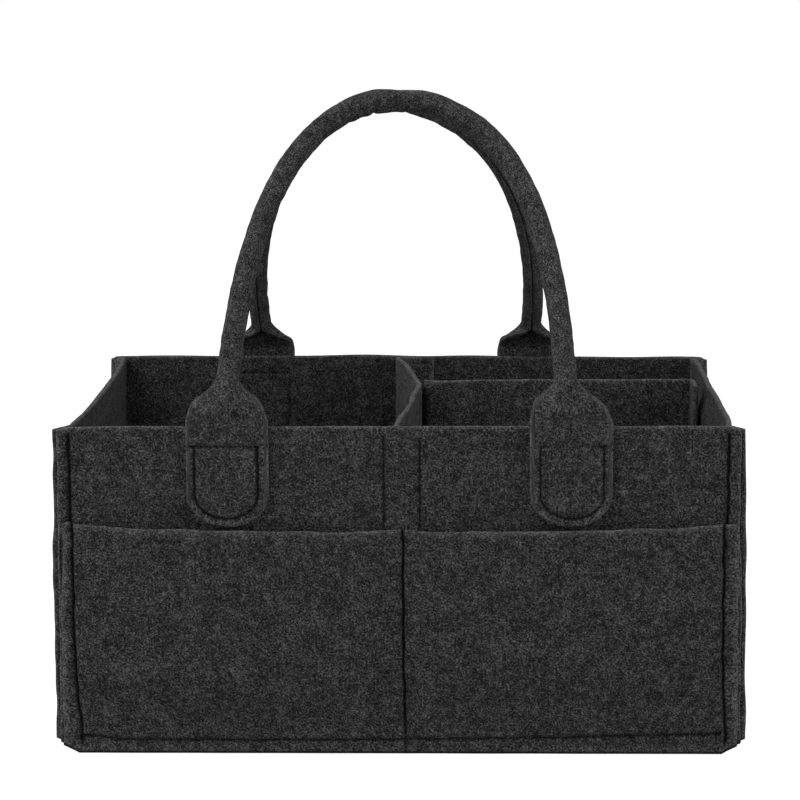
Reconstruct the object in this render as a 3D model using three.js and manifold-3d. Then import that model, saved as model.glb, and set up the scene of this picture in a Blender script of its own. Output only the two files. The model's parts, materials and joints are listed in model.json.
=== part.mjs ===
// A felt caddy: an open box of sewn felt with two outside pockets, two dividers that lift out,
// and two handles rolled from felt straps that lean together over the middle.
// Millimetres, +Z up. The origin is the middle of the bottom. +X is to the right of someone who
// faces the pockets, and the pockets are on the -Y side.
import * as THREE from "three";
import { mergeVertices } from "three/addons/utils/BufferGeometryUtils.js";
import Module from "manifold-3d";

// Box
const width = 380; // over the seam margins that stand out at the corners
const depth = 250; // outside of the front panel to outside of the back panel
const height = 184.5; // ground to rim
const felt = 3; // thickness of every felt piece
const laidGap = 0.3; // between two layers that are sewn or laid together
const cornerMargin = 8; // the front and back panels' edges past the side walls
const groundSpread = 2.2; // how much farther out the margins stand at the ground
const marginDrop = 2; // how far the margins' tops slope down from the rim
const cornerCutWide = 11; // the corner cut off each margin at the ground
const cornerCutHigh = 6;
const leftBow = 3; // how far the left side wall leans in at the middle of the rim
const rightBow = -1.5; // the right one leans out a little
const bowPower = 1.5; // how late the lean sets in on the way up
const foldRadius = 2; // to the middle of the felt, wherever it is folded

// Floor
const skirt = 9; // height of the margins turned down under the base panel
const board = 2; // thickness of the stiffener
const boardInset = 4; // the stiffener's edge inside the base panel's
const linerInset = 1.5; // the liner's edge inside the walls

// Outside pockets
const pocketHeight = 130.1; // at the corner seams
const pocketSag = 3.3; // how much lower the pocket rim is in the middle
const pocketMargin = 7.3; // the pocket panel's edge past its end seams
const pocketInset = 10.7; // from the end seams to the panels' outer edges
const pocketBulge = 6; // how far each pocket stands off the front panel
const pocketSeamX = 2.4; // the seam between the two pockets
const bulgeRise = 42; // height over which the bulge sets in above the bottom seam
const bulgeFlatness = 4; // power of the bulge's outline across a pocket

// Hook and loop tapes
const tape = 1.2; // thickness
const tapeWidth = 20;
const frontTapeX = 1.3; // middle of the tape on the front panel
const backTapeX = 8.5; // middle of the tape on the back panel
const tapeLow = 22; // above the ground
const tapeTopDrop = 4; // below the rim

// Dividers
const dividerDrop = 2.5; // below the rim
const frontFlap = 20; // the centre divider's folded ends
const backFlap = 23.5;
const crossFlap = 26; // the cross divider's end on the right wall
const innerFlap = 22; // the cross divider's end on the centre divider
const dividerFrontX = -3.6; // where the centre divider meets the front panel
const dividerBackX = -5.9; // and the back panel
const pulledX = 9.2; // how far right the cross divider pulls it
const pullY = 38;
const pullPower = 1.35; // roundness of the pulled line
const crossEndY = 42; // where the cross divider meets the right wall

// Handles
const tubeRadius = 6.35; // outside of the rolled strap
const rollSeam = 0.3; // between the strap's edges where they meet
const coreClearance = 0.25; // between the filler cord and the roll
const patchHalfWidth = 22.8;
const patchBottom = 128.5; // above the ground
const patchRound = 18.7; // height of the patch's rounded end
const patchStandUp = 2.2; // the patch's top above the rim
const hingeRise = 0.8; // the hinge line above the patch's top
const handleReach = 207.5; // hinge line to the tube's middle at the crown
const footRise = 15; // along the lean, from the hinge line to where the arch starts
const neckPower = 1.9; // how late the strap draws in to the tube's width
const rollPower = 1.9; // how late it rolls up
// Both handles lean in a plane of their own: x across the bag, then the distance up the lean.
const frontHandle = {
  name: "front",
  side: -1,
  patches: [-93.9, 94.7], // middles of its two patches
  feet: [-94.5, 92.2], // where its legs' arch starts
  crownX: -1.8,
  lowerPulls: [[-90.1, 125.8], [89.1, 92.9]], // the arch's control points
  upperPulls: [-63.3, 76.5], // as high as the crown
  neck: 25.8, // along the strap, where the roll is closed
};
const backHandle = {
  name: "back",
  side: 1,
  patches: [-94.5, 80],
  feet: [-91.1, 78],
  crownX: -12.3,
  lowerPulls: [[-104.3, 147.9], [87.6, 160.3]],
  upperPulls: [-38.1, 31.2],
  neck: 23.2,
};

// Thread
const threadWidth = 0.9;
const threadHeight = 0.4;
const patchSeamInset = 4.6; // the D-shaped seam inside the patch's edge
const patchSeamTop = 13.1; // the D's straight line below the patch's top
const cornerSeamX = 0.6; // the corner seam past the side wall
const seamEndDrop = 3; // where the upright seams end below their panel's top

// Where the layers lie, from the sizes above.
const frontFace = depth / 2;
const frontInside = frontFace - felt;
const wallOutside = width / 2 - cornerMargin;
const wallInside = wallOutside - felt;
const pocketFace = frontFace + laidGap + felt;
const patchFace = pocketFace;
const hingeY = patchFace + laidGap + felt / 2;
const patchTop = height + patchStandUp;
const hingeZ = patchTop + hingeRise;
const lean = Math.asin((hingeY - tubeRadius - laidGap / 2) / handleReach);
const floorTop = skirt + felt;
const boardLow = floorTop + laidGap;
const linerLow = boardLow + board + laidGap;
const dividerLow = linerLow + felt + laidGap;
const dividerHigh = height - dividerDrop;
const tapeStack = laidGap + tape + laidGap + tape + laidGap;
const seamHeight = skirt + 0.5;
const outerPocketSeam = width / 2 - pocketInset;

const wasm = await Module();
wasm.setup();

const felts = {
  body: { color: "#313131", roughness: 0.96, metalness: 0 },
  handle: { color: "#373737", roughness: 0.95, metalness: 0 },
  divider: { color: "#3a3a3a", roughness: 0.96, metalness: 0 },
};
const tapeFinish = { color: "#232323", roughness: 0.85, metalness: 0 };
const threadFinish = { color: "#161616", roughness: 0.6, metalness: 0 };
const boardFinish = { color: "#6f675c", roughness: 0.9, metalness: 0 };
const cordFinish = { color: "#8f8d88", roughness: 0.9, metalness: 0 };

const bag = new THREE.Group();

function addPiece(name, geometry, finish) {
  const mesh = new THREE.Mesh(geometry, new THREE.MeshStandardMaterial(finish));
  mesh.name = name;
  bag.add(mesh);
}

function smooth(t) {
  const held = THREE.MathUtils.clamp(t, 0, 1);
  return held * held * (3 - 2 * held);
}

// Turns the faces round if they enclose a negative volume.
function faceOutwards(points, triangles) {
  const [a, b, c] = [0, 1, 2].map(() => new THREE.Vector3());
  let volume = 0;
  for (let i = 0; i < triangles.length; i += 3) {
    a.fromArray(points, triangles[i] * 3);
    b.fromArray(points, triangles[i + 1] * 3);
    c.fromArray(points, triangles[i + 2] * 3);
    volume += a.dot(b.cross(c));
  }
  if (volume < 0) triangles.reverse();
}

// A closed sheet between two faces, each a function of two parameters from 0 to 1.
function closedSheet(columns, rows, outer, inner) {
  const points = [];
  for (const face of [outer, inner])
    for (let i = 0; i <= columns; i++)
      for (let j = 0; j <= rows; j++) points.push(...face(i / columns, j / rows));
  const at = (side, i, j) => (side * (columns + 1) + i) * (rows + 1) + j;
  const triangles = [];
  const quad = (a, b, c, d) => triangles.push(a, b, c, a, c, d);
  for (let i = 0; i < columns; i++) {
    for (let j = 0; j < rows; j++) {
      quad(at(0, i, j), at(0, i + 1, j), at(0, i + 1, j + 1), at(0, i, j + 1));
      quad(at(1, i, j), at(1, i, j + 1), at(1, i + 1, j + 1), at(1, i + 1, j));
    }
    quad(at(0, i, 0), at(1, i, 0), at(1, i + 1, 0), at(0, i + 1, 0));
    quad(at(0, i, rows), at(0, i + 1, rows), at(1, i + 1, rows), at(1, i, rows));
  }
  for (let j = 0; j < rows; j++) {
    quad(at(0, 0, j), at(0, 0, j + 1), at(1, 0, j + 1), at(1, 0, j));
    quad(at(0, columns, j), at(1, columns, j), at(1, columns, j + 1), at(0, columns, j + 1));
  }
  faceOutwards(points, triangles);
  const geometry = new THREE.BufferGeometry();
  geometry.setAttribute("position", new THREE.Float32BufferAttribute(points, 3));
  geometry.setIndex(triangles);
  geometry.computeVertexNormals();
  return geometry;
}

// A closed box between two corners.
function boxBetween(low, high) {
  const size = high.map((value, i) => value - low[i]);
  const middle = high.map((value, i) => (value + low[i]) / 2);
  return new THREE.BoxGeometry(...size).translate(...middle);
}

// An outline in X and Z made into a plate that stands from y to y + thickness.
function standingPlate(shape, y, thickness) {
  const geometry = new THREE.ExtrudeGeometry(shape, {
    depth: thickness,
    bevelEnabled: false,
    curveSegments: 10,
  });
  return geometry.rotateX(Math.PI / 2).translate(0, y + thickness, 0);
}

// Takes one closed geometry away from another.
function cutAway(geometry, tool) {
  const [body, cutter] = [geometry, tool].map((source) => {
    const plain = source.clone().deleteAttribute("normal").deleteAttribute("uv");
    const merged = mergeVertices(plain);
    return new wasm.Manifold(
      new wasm.Mesh({
        numProp: 3,
        vertProperties: merged.attributes.position.array,
        triVerts: new Uint32Array(merged.index.array),
      }),
    );
  });
  const made = body.subtract(cutter).getMesh();
  const left = new THREE.BufferGeometry();
  left.setAttribute("position", new THREE.BufferAttribute(made.vertProperties, 3));
  left.setIndex(new THREE.BufferAttribute(made.triVerts, 1));
  left.computeVertexNormals();
  return left;
}

// How far a seam margin's outer edge moves out at a height: nothing at the rim, most at the ground.
// Places nearer the corner seam move less.
function spreadAt(x, z) {
  const share = Math.max(0, Math.abs(x) - wallOutside) / cornerMargin;
  return Math.sign(x) * groundSpread * share * (1 - z / height);
}

// The ground end of a panel at x: level, then cut off at a slope past the corner seam.
function groundEdge(x) {
  const past = Math.abs(x) - (width / 2 - cornerCutWide);
  return Math.max(0, (past / cornerCutWide) * cornerCutHigh);
}

// The rim of a panel at x: level, then sloping down over the seam margin.
function rimEdge(x) {
  const past = Math.max(0, Math.abs(x) - wallOutside);
  return height - (past / cornerMargin) * marginDrop;
}

// Front and back panels.
function panelShape() {
  const xs = [-width / 2, cornerCutWide - width / 2, width / 2 - cornerCutWide, width / 2];
  const rimXs = [width / 2, wallOutside, -wallOutside, -width / 2];
  const spot = (x, z) => new THREE.Vector2(x + spreadAt(x, z), z);
  const lower = xs.map((x) => spot(x, groundEdge(x)));
  const upper = rimXs.map((x) => spot(x, rimEdge(x)));
  return new THREE.Shape([...lower, ...upper]);
}

function buildPanels() {
  addPiece("front_panel", standingPlate(panelShape(), -frontFace, felt), felts.body);
  addPiece("back_panel", standingPlate(panelShape(), frontInside, felt), felts.body);
}

// How far a side wall leans in at a place on it, towards the middle of the bag.
function bowAt(side, y, z) {
  const half = frontInside - laidGap - felt;
  const along = Math.max(0, 1 - (y / half) ** 2);
  const bow = side < 0 ? leftBow : rightBow;
  return side * bow * along * Math.max(0, z / height) ** bowPower;
}

// A path of plan points with each inner corner rounded.
function roundedPlan(corners, radius, steps = 3) {
  const points = [corners[0]];
  for (let i = 1; i < corners.length - 1; i++) {
    const before = corners[i - 1].clone().sub(corners[i]).normalize();
    const after = corners[i + 1].clone().sub(corners[i]).normalize();
    const half = before.angleTo(after) / 2;
    const reach = radius / Math.tan(half);
    const start = corners[i].clone().addScaledVector(before, reach);
    const end = corners[i].clone().addScaledVector(after, reach);
    const middle = before.clone().add(after).normalize();
    const centre = corners[i].clone().addScaledVector(middle, radius / Math.sin(half));
    for (let k = 0; k <= steps; k++) {
      const point = start.clone().lerp(end, k / steps).sub(centre).setLength(radius);
      points.push(point.add(centre));
    }
  }
  points.push(corners[corners.length - 1]);
  return points;
}

// The path's left-hand normals, averaged and stretched at its bends.
function planNormals(points) {
  return points.map((point, i) => {
    const ahead = points[Math.min(i + 1, points.length - 1)];
    const behind = points[Math.max(i - 1, 0)];
    const into = point.clone().sub(behind).normalize();
    const outOf = ahead.clone().sub(point).normalize();
    const sum = into.clone().add(outOf).normalize();
    const stretch = i === 0 || i === points.length - 1 ? 1 : 1 / Math.max(0.5, sum.dot(outOf));
    return new THREE.Vector2(-sum.y, sum.x).multiplyScalar(stretch);
  });
}

function sidePlan(side) {
  const flangeY = frontInside - laidGap - felt / 2;
  const wallX = wallOutside - felt / 2;
  const steps = 12;
  const corners = [new THREE.Vector2((side * width) / 2, -flangeY)];
  for (let i = 0; i <= steps; i++)
    corners.push(new THREE.Vector2(side * wallX, flangeY * ((2 * i) / steps - 1)));
  corners.push(new THREE.Vector2((side * width) / 2, flangeY));
  const first = roundedPlan([corners[0], corners[1], corners[2]], foldRadius);
  const last = roundedPlan(corners.slice(-3), foldRadius);
  return [...first.slice(0, -1), ...corners.slice(2, -2), ...last.slice(1)];
}

// A side wall: folded out at both ends, bowed in between them.
function buildSide(name, side) {
  const plan = sidePlan(side);
  const normals = planNormals(plan);
  const columns = plan.length - 1;
  const rows = 6;
  const face = (offset) => (u, v) => {
    const i = Math.round(u * columns);
    const x = plan[i].x + normals[i].x * offset;
    const y = plan[i].y + normals[i].y * offset;
    const low = groundEdge(plan[i].x);
    const z = low + (rimEdge(plan[i].x) - low) * v;
    return [x + spreadAt(x, z) - bowAt(side, y, z), y, z];
  };
  addPiece(name, closedSheet(columns, rows, face(felt / 2), face(-felt / 2)), felts.body);
}

function buildFloor() {
  const x = wallInside - laidGap;
  const y = frontInside - laidGap;
  const block = boxBetween([-x, -y, 0], [x, y, floorTop]);
  const hollow = boxBetween([felt - x, felt - y, -1], [x - felt, y - felt, skirt]);
  addPiece("base_panel", cutAway(block, hollow), felts.body);
  const boardX = x - boardInset;
  const boardY = y - boardInset;
  const boardBox = boxBetween([-boardX, -boardY, boardLow], [boardX, boardY, boardLow + board]);
  addPiece("base_board", boardBox, boardFinish);
  const linerX = wallInside - linerInset;
  const linerY = frontInside - linerInset;
  const linerBox = boxBetween([-linerX, -linerY, linerLow], [linerX, linerY, linerLow + felt]);
  addPiece("floor_liner", linerBox, felts.body);
}

function pocketRim(x) {
  return pocketHeight - pocketSag * Math.max(0, 1 - (x / outerPocketSeam) ** 2);
}

// How far the pocket panel stands off the front panel: nothing at its seams, most between them.
function bulgeAt(x, z) {
  const [from, to] = x < pocketSeamX ? [-outerPocketSeam, pocketSeamX] : [pocketSeamX, outerPocketSeam];
  const across = (2 * x - from - to) / (to - from);
  if (Math.abs(across) >= 1) return 0;
  return pocketBulge * (1 - Math.abs(across) ** bulgeFlatness) * smooth((z - seamHeight) / bulgeRise);
}

// The pocket panel's columns: closer together near its seams, where the bulge rises fastest.
function pocketColumns() {
  const shares = [-1, -0.96, -0.88, -0.76, -0.6, -0.35, 0, 0.35, 0.6, 0.76, 0.88, 0.96];
  const spans = [
    [-outerPocketSeam, pocketSeamX],
    [pocketSeamX, outerPocketSeam],
  ];
  const between = spans.flatMap(([a, b]) => shares.map((t) => (a + b) / 2 + ((b - a) / 2) * t));
  const end = outerPocketSeam + pocketMargin;
  const cut = width / 2 - cornerCutWide;
  return [-end, -cut, ...between, outerPocketSeam, cut, end];
}

function buildPocket() {
  const xs = pocketColumns();
  const columns = xs.length - 1;
  const rows = 9;
  const face = (offset) => (u, v) => {
    const x = xs[Math.round(u * columns)];
    const low = groundEdge(x);
    const z = low + (pocketRim(x) - low) * v;
    const y = -(frontFace + laidGap + offset + bulgeAt(x, z));
    return [x + spreadAt(x, z), y, z];
  };
  addPiece("front_pocket_panel", closedSheet(columns, rows, face(felt), face(0)), felts.body);
}

// A sheet that stands upright along a plan path, with the same outline at every height.
function standingSheet(plan, thickness, low, high) {
  const normals = planNormals(plan);
  const face = (offset) => (u, v) => {
    const i = Math.round(u * (plan.length - 1));
    const point = plan[i].clone().addScaledVector(normals[i], offset);
    return [point.x, point.y, low + (high - low) * v];
  };
  return closedSheet(plan.length - 1, 1, face(thickness / 2), face(-thickness / 2));
}

// The centre divider's line seen from above, pulled to the right at one place.
function dividerX(y) {
  const [endX, reach] =
    y < pullY ? [dividerFrontX, pullY + frontInside] : [dividerBackX, frontInside - pullY];
  const away = Math.min(1, Math.abs(y - pullY) / reach);
  return pulledX + (endX - pulledX) * away ** pullPower;
}

function flapY() {
  return frontInside - tapeStack - felt / 2;
}

function centrePlan() {
  const y = flapY();
  const steps = 18;
  const line = [];
  for (let i = 0; i <= steps; i++) {
    const at = y * ((2 * i) / steps - 1);
    line.push(new THREE.Vector2(dividerX(at), at));
  }
  const frontEnd = new THREE.Vector2(line[0].x + frontFlap, -y);
  const backEnd = new THREE.Vector2(line[steps].x + backFlap, y);
  const first = roundedPlan([frontEnd, line[0], line[1]], foldRadius);
  const last = roundedPlan([line[steps - 1], line[steps], backEnd], foldRadius);
  return [...first.slice(0, -1), ...line.slice(1, -1), ...last.slice(1)];
}

// A stretch of the centre divider's right side, moved off its middle line.
function besideDivider(from, to, off, steps = 4) {
  const points = [];
  for (let i = 0; i <= steps; i++) {
    const y = from + ((to - from) * i) / steps;
    const slope = dividerX(y + 0.5) - dividerX(y - 0.5);
    const across = new THREE.Vector2(1, -slope).normalize();
    points.push(new THREE.Vector2(dividerX(y), y).addScaledVector(across, off));
  }
  return points;
}

function crossPlan() {
  const flap = besideDivider(pullY + innerFlap, pullY + foldRadius, felt / 2 + tapeStack + felt / 2);
  const wallX = wallInside - tapeStack - felt / 2;
  const bendLeft = new THREE.Vector2(flap[flap.length - 1].x, pullY);
  const bendRight = new THREE.Vector2(wallX, crossEndY);
  const end = new THREE.Vector2(wallX, crossEndY - crossFlap);
  const turns = roundedPlan([flap[flap.length - 2], bendLeft, bendRight, end], foldRadius);
  return [...flap.slice(0, -1), ...turns.slice(1)];
}

function buildDividers() {
  const centre = standingSheet(centrePlan(), felt, dividerLow, dividerHigh);
  addPiece("centre_divider", centre, felts.divider);
  const cross = standingSheet(crossPlan(), felt, dividerLow, dividerHigh);
  addPiece("cross_divider", cross, felts.divider);
}

// Tapes on flat walls: the loop half on the wall, the hook half on the divider's folded end.
function buildFlatTapes() {
  const low = tapeLow;
  const high = height - tapeTopDrop;
  const wallY = frontInside - laidGap;
  const loops = [
    ["front_loop_tape", -1, frontTapeX],
    ["back_loop_tape", 1, backTapeX],
  ];
  for (const [name, side, x] of loops) {
    const ys = [side * wallY, side * (wallY - tape)].sort((a, b) => a - b);
    const half = tapeWidth / 2;
    addPiece(name, boxBetween([x - half, ys[0], low], [x + half, ys[1], high]), tapeFinish);
  }
  const flap = flapY() + felt / 2 + laidGap;
  const hooks = [
    ["front_hook_tape", -1, frontFlap],
    ["back_hook_tape", 1, backFlap],
  ];
  for (const [name, side, flapLength] of hooks) {
    const bend = dividerX(side * flapY());
    const from = bend + foldRadius;
    const to = bend + flapLength;
    const ys = [side * flap, side * (flap + tape)].sort((a, b) => a - b);
    addPiece(name, boxBetween([from, ys[0], low], [to, ys[1], high - dividerDrop]), tapeFinish);
  }
}

// The loop tape on the right wall follows the wall's bow.
function buildWallTape() {
  const middle = crossEndY - crossFlap / 2;
  const high = height - tapeTopDrop;
  const face = (offset) => (u, v) => {
    const y = middle + tapeWidth * (u - 0.5);
    const z = tapeLow + (high - tapeLow) * v;
    return [wallInside - laidGap - offset - bowAt(1, y, z), y, z];
  };
  addPiece("right_loop_tape", closedSheet(2, 6, face(0), face(tape)), tapeFinish);
}

// Tapes between the two dividers, and on the cross divider's right end.
function buildCrossTapes() {
  const low = tapeLow;
  const high = height - tapeTopDrop - dividerDrop;
  const from = pullY + foldRadius + 1;
  const to = pullY + innerFlap;
  const loop = besideDivider(from, to, felt / 2 + laidGap + tape / 2);
  const hook = besideDivider(from, to, felt / 2 + tapeStack - laidGap - tape / 2);
  addPiece("divider_loop_tape", standingSheet(loop, tape, low, high), tapeFinish);
  addPiece("inner_hook_tape", standingSheet(hook, tape, low, high), tapeFinish);
  const x = wallInside - tapeStack + laidGap;
  const near = crossEndY - crossFlap;
  const far = crossEndY - foldRadius;
  addPiece("right_hook_tape", boxBetween([x, near, low], [x + tape, far, high]), tapeFinish);
}

// The outline of a handle's sewn end, and of the seam inside it: straight sides, rounded bottom.
function patchShape(centre, half, bottom, top, round) {
  const shape = new THREE.Shape();
  shape.moveTo(centre - half, top);
  shape.lineTo(centre - half, bottom + round);
  shape.absellipse(centre, bottom + round, half, round, Math.PI, 2 * Math.PI, false);
  shape.lineTo(centre + half, top);
  shape.closePath();
  return shape;
}

function buildPatch(handle, centre, word) {
  const outline = patchShape(centre, patchHalfWidth, patchBottom, patchTop, patchRound);
  const near = handle.side < 0 ? -patchFace : patchFace - felt;
  addPiece(`${handle.name}_${word}_patch`, standingPlate(outline, near, felt), felts.handle);

  const seam = (inset) =>
    patchShape(
      centre,
      patchHalfWidth - inset,
      patchBottom + inset,
      patchTop - patchSeamTop + patchSeamInset - inset,
      patchRound - inset,
    );
  const ring = seam(patchSeamInset - threadWidth / 2);
  ring.holes.push(seam(patchSeamInset + threadWidth / 2));
  const away = patchFace + laidGap;
  const threadNear = handle.side < 0 ? -away - threadHeight : away;
  const thread = standingPlate(ring, threadNear, threadHeight);
  addPiece(`${handle.name}_${word}_patch_thread`, thread, threadFinish);
}

// A handle's middle line in the plane it leans in: x across, y up along the lean.
function handlePath(handle) {
  const { patches, feet, crownX, lowerPulls, upperPulls } = handle;
  const point = (x, y) => new THREE.Vector2(x, y);
  const ends = patches.map((x) => point(x, 0));
  const [leftFoot, rightFoot] = feet.map((x) => point(x, footRise));
  const [leftLow, rightLow] = lowerPulls.map(([x, y]) => point(x, y));
  const [leftHigh, rightHigh] = upperPulls.map((x) => point(x, handleReach));
  const crown = point(crownX, handleReach);
  const path = new THREE.CurvePath();
  path.add(new THREE.LineCurve(ends[0], leftFoot));
  path.add(new THREE.CubicBezierCurve(leftFoot, leftLow, leftHigh, crown));
  path.add(new THREE.CubicBezierCurve(crown, rightHigh, rightLow, rightFoot));
  path.add(new THREE.LineCurve(rightFoot, ends[1]));
  return path;
}

// A point of the leaning plane in the bag's frame, moved along the plane's inward normal.
function onLean(handle, x, along, inward) {
  const y = hingeY - along * Math.sin(lean) - inward * Math.cos(lean);
  const z = hingeZ + along * Math.cos(lean) - inward * Math.sin(lean);
  return [x, handle.side * y, z];
}

// The strap's cross-section at a distance from its nearer end: its width, how far round it is
// rolled, and how far the roll's middle has moved onto the handle's middle line.
function strapAt(distance, neck) {
  const tubeMiddle = tubeRadius - felt / 2;
  const fullRoll = 2 * Math.PI - rollSeam / (tubeRadius - felt);
  const tubeWidth = tubeMiddle * fullRoll;
  const share = Math.min(1, distance / neck);
  return {
    width: tubeWidth + (2 * patchHalfWidth - tubeWidth) * (1 - share) ** neckPower,
    turn: Math.max(1e-4, fullRoll * share ** rollPower),
    shift: tubeMiddle * smooth(share),
  };
}

// Distances along the strap: close together in the shoulders, wider in the arch.
function strapStations(length, neck) {
  const shoulderSteps = 10;
  const archSteps = 34;
  const near = [];
  for (let i = 0; i < shoulderSteps; i++) near.push((neck * i) / shoulderSteps);
  const arch = [];
  for (let i = 0; i <= archSteps; i++)
    arch.push(neck + ((length - 2 * neck) * i) / archSteps);
  return [...near, ...arch, ...near.map((d) => length - d).reverse()];
}

// The strap itself: a flat sheet at both ends that rolls up into a tube, its edges meeting on
// the side that faces the bag. Across the strap, the middle of the felt is an arc of a circle.
// The arcs lie level near the hinge line and square to the handle's middle line farther up.
function buildStrap(handle) {
  const path = handlePath(handle);
  const length = path.getLength();
  const stations = strapStations(length, handle.neck);
  const rows = 10;
  const face = (offset) => (u, v) => {
    const distance = stations[Math.round(u * (stations.length - 1))];
    const t = distance / length;
    const centre = path.getPoint(t);
    const fromEnd = Math.min(distance, length - distance);
    const upright = new THREE.Vector2(0, distance < length / 2 ? 1 : -1);
    const follow = smooth(fromEnd / handle.neck - 0.5);
    const tangent = upright.lerp(path.getTangent(t), follow).normalize();
    const strap = strapAt(fromEnd, handle.neck);
    const angle = strap.turn * (v - 0.5);
    const radius = strap.width / strap.turn;
    const across = radius * Math.sin(angle) + offset * Math.sin(angle);
    const inward = radius * (1 - Math.cos(angle)) - offset * Math.cos(angle) - strap.shift;
    return onLean(
      handle,
      centre.x + tangent.y * across,
      centre.y - tangent.x * across,
      inward,
    );
  };
  const columns = stations.length - 1;
  const geometry = closedSheet(columns, rows, face(felt / 2), face(-felt / 2));
  addPiece(`${handle.name}_handle`, geometry, felts.handle);
}

// The filler cord inside the closed part of the roll.
function buildCore(handle) {
  const path = handlePath(handle);
  const length = path.getLength();
  const steps = 34;
  const points = [];
  for (let i = 0; i <= steps; i++) {
    const distance = handle.neck + ((length - 2 * handle.neck) * i) / steps;
    const centre = path.getPoint(distance / length);
    points.push(new THREE.Vector3(...onLean(handle, centre.x, centre.y, 0)));
  }
  const radius = tubeRadius - felt - coreClearance;
  const circle = new THREE.Shape();
  circle.absarc(0, 0, radius, 0, 2 * Math.PI, false);
  const geometry = new THREE.ExtrudeGeometry(circle, {
    steps,
    curveSegments: 4,
    bevelEnabled: false,
    extrudePath: new THREE.CatmullRomCurve3(points),
  });
  addPiece(`${handle.name}_handle_core`, geometry, cordFinish);
}

function buildHandles() {
  for (const handle of [frontHandle, backHandle]) {
    buildPatch(handle, handle.patches[0], "left");
    buildPatch(handle, handle.patches[1], "right");
    buildStrap(handle);
    buildCore(handle);
  }
}

// A thread that lies along a line of surface points: across is the direction of its width, and
// outward points away from the felt under it.
function threadAlong(points, across, outward) {
  const face = (rise) => (u, v) => {
    const point = points[Math.round(u * (points.length - 1))].clone();
    point.addScaledVector(across, (v - 0.5) * threadWidth);
    return point.addScaledVector(outward, laidGap + rise).toArray();
  };
  return closedSheet(points.length - 1, 1, face(threadHeight), face(0));
}

const alongX = new THREE.Vector3(1, 0, 0);
const alongY = new THREE.Vector3(0, 1, 0);
const alongZ = new THREE.Vector3(0, 0, 1);
const forwards = alongY.clone().negate();

// The corner seams. The front ones step out over the pocket panel.
function buildCornerThreads() {
  for (const [word, side] of [["left", -1], ["right", 1]]) {
    const x = side * (wallOutside + cornerSeamX);
    const low = groundEdge(x) + seamHeight;
    const high = rimEdge(x) - seamEndDrop;
    const spot = (y, z) => new THREE.Vector3(x, y, z);
    const step = pocketRim(x) + laidGap;
    const clear = laidGap + threadHeight;
    const outline = new THREE.Shape([
      new THREE.Vector2(-frontFace - laidGap, high),
      new THREE.Vector2(-frontFace - laidGap, step),
      new THREE.Vector2(-pocketFace - laidGap, step),
      new THREE.Vector2(-pocketFace - laidGap, low),
      new THREE.Vector2(-pocketFace - clear, low),
      new THREE.Vector2(-pocketFace - clear, step + threadHeight),
      new THREE.Vector2(-frontFace - clear, step + threadHeight),
      new THREE.Vector2(-frontFace - clear, high),
    ]);
    const front = new THREE.ExtrudeGeometry(outline, { depth: threadWidth, bevelEnabled: false });
    front.rotateX(Math.PI / 2).rotateZ(Math.PI / 2).translate(x - threadWidth / 2, 0, 0);
    addPiece(`front_${word}_corner_thread`, front, threadFinish);
    const back = threadAlong([spot(frontFace, low), spot(frontFace, high)], alongX, alongY);
    addPiece(`back_${word}_corner_thread`, back, threadFinish);
  }
}

// The bottom seam, one run of thread for each wall.
function buildBottomThreads() {
  const endX = outerPocketSeam - threadWidth;
  const endY = frontInside - laidGap - felt - foldRadius;
  const spot = (x, y) => new THREE.Vector3(x, y, seamHeight);
  const runs = [
    ["front", [spot(-endX, -pocketFace), spot(endX, -pocketFace)], forwards],
    ["back", [spot(-endX, frontFace), spot(endX, frontFace)], alongY],
    ["left", [spot(-wallOutside, -endY), spot(-wallOutside, endY)], alongX.clone().negate()],
    ["right", [spot(wallOutside, -endY), spot(wallOutside, endY)], alongX],
  ];
  for (const [word, points, outward] of runs)
    addPiece(`${word}_bottom_thread`, threadAlong(points, alongZ, outward), threadFinish);
}

function buildPocketThread() {
  const spot = (z) => new THREE.Vector3(pocketSeamX, -pocketFace, z);
  const points = [spot(seamHeight + threadWidth), spot(pocketRim(pocketSeamX) - seamEndDrop)];
  addPiece("pocket_middle_thread", threadAlong(points, alongX, forwards), threadFinish);
}

// Each flat tape's thread shows outside as two upright lines joined across their foot.
function tapeSeamShape(middle, low, high) {
  const half = tapeWidth / 2;
  const shape = new THREE.Shape();
  shape.moveTo(middle - half, high);
  shape.lineTo(middle - half, low);
  shape.lineTo(middle + half, low);
  shape.lineTo(middle + half, high);
  shape.lineTo(middle + half - threadWidth, high);
  shape.lineTo(middle + half - threadWidth, low + threadWidth);
  shape.lineTo(middle - half + threadWidth, low + threadWidth);
  shape.lineTo(middle - half + threadWidth, high);
  return shape;
}

function buildTapeThreads() {
  const back = tapeSeamShape(backTapeX, tapeLow, height - tapeTopDrop);
  addPiece("back_tape_thread", standingPlate(back, frontFace + laidGap, threadHeight), threadFinish);
  const frontLow = pocketHeight + threadWidth;
  const front = tapeSeamShape(frontTapeX, frontLow, height - tapeTopDrop);
  const frontY = -frontFace - laidGap - threadHeight;
  addPiece("front_tape_thread", standingPlate(front, frontY, threadHeight), threadFinish);
}

buildPanels();
buildSide("left_side_panel", -1);
buildSide("right_side_panel", 1);
buildFloor();
buildPocket();
buildDividers();
buildFlatTapes();
buildWallTape();
buildCrossTapes();
buildHandles();
buildCornerThreads();
buildBottomThreads();
buildPocketThread();
buildTapeThreads();

export default bag;
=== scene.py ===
# Felt caddy: needle-felt sheets sewn into an open box, two outside pockets, lift-out dividers and
# two rolled handles. Shapes are worked out in millimetres and written to the meshes in metres.
import json
import math

import bpy
import numpy as np
from mathutils import Matrix, Vector

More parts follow.
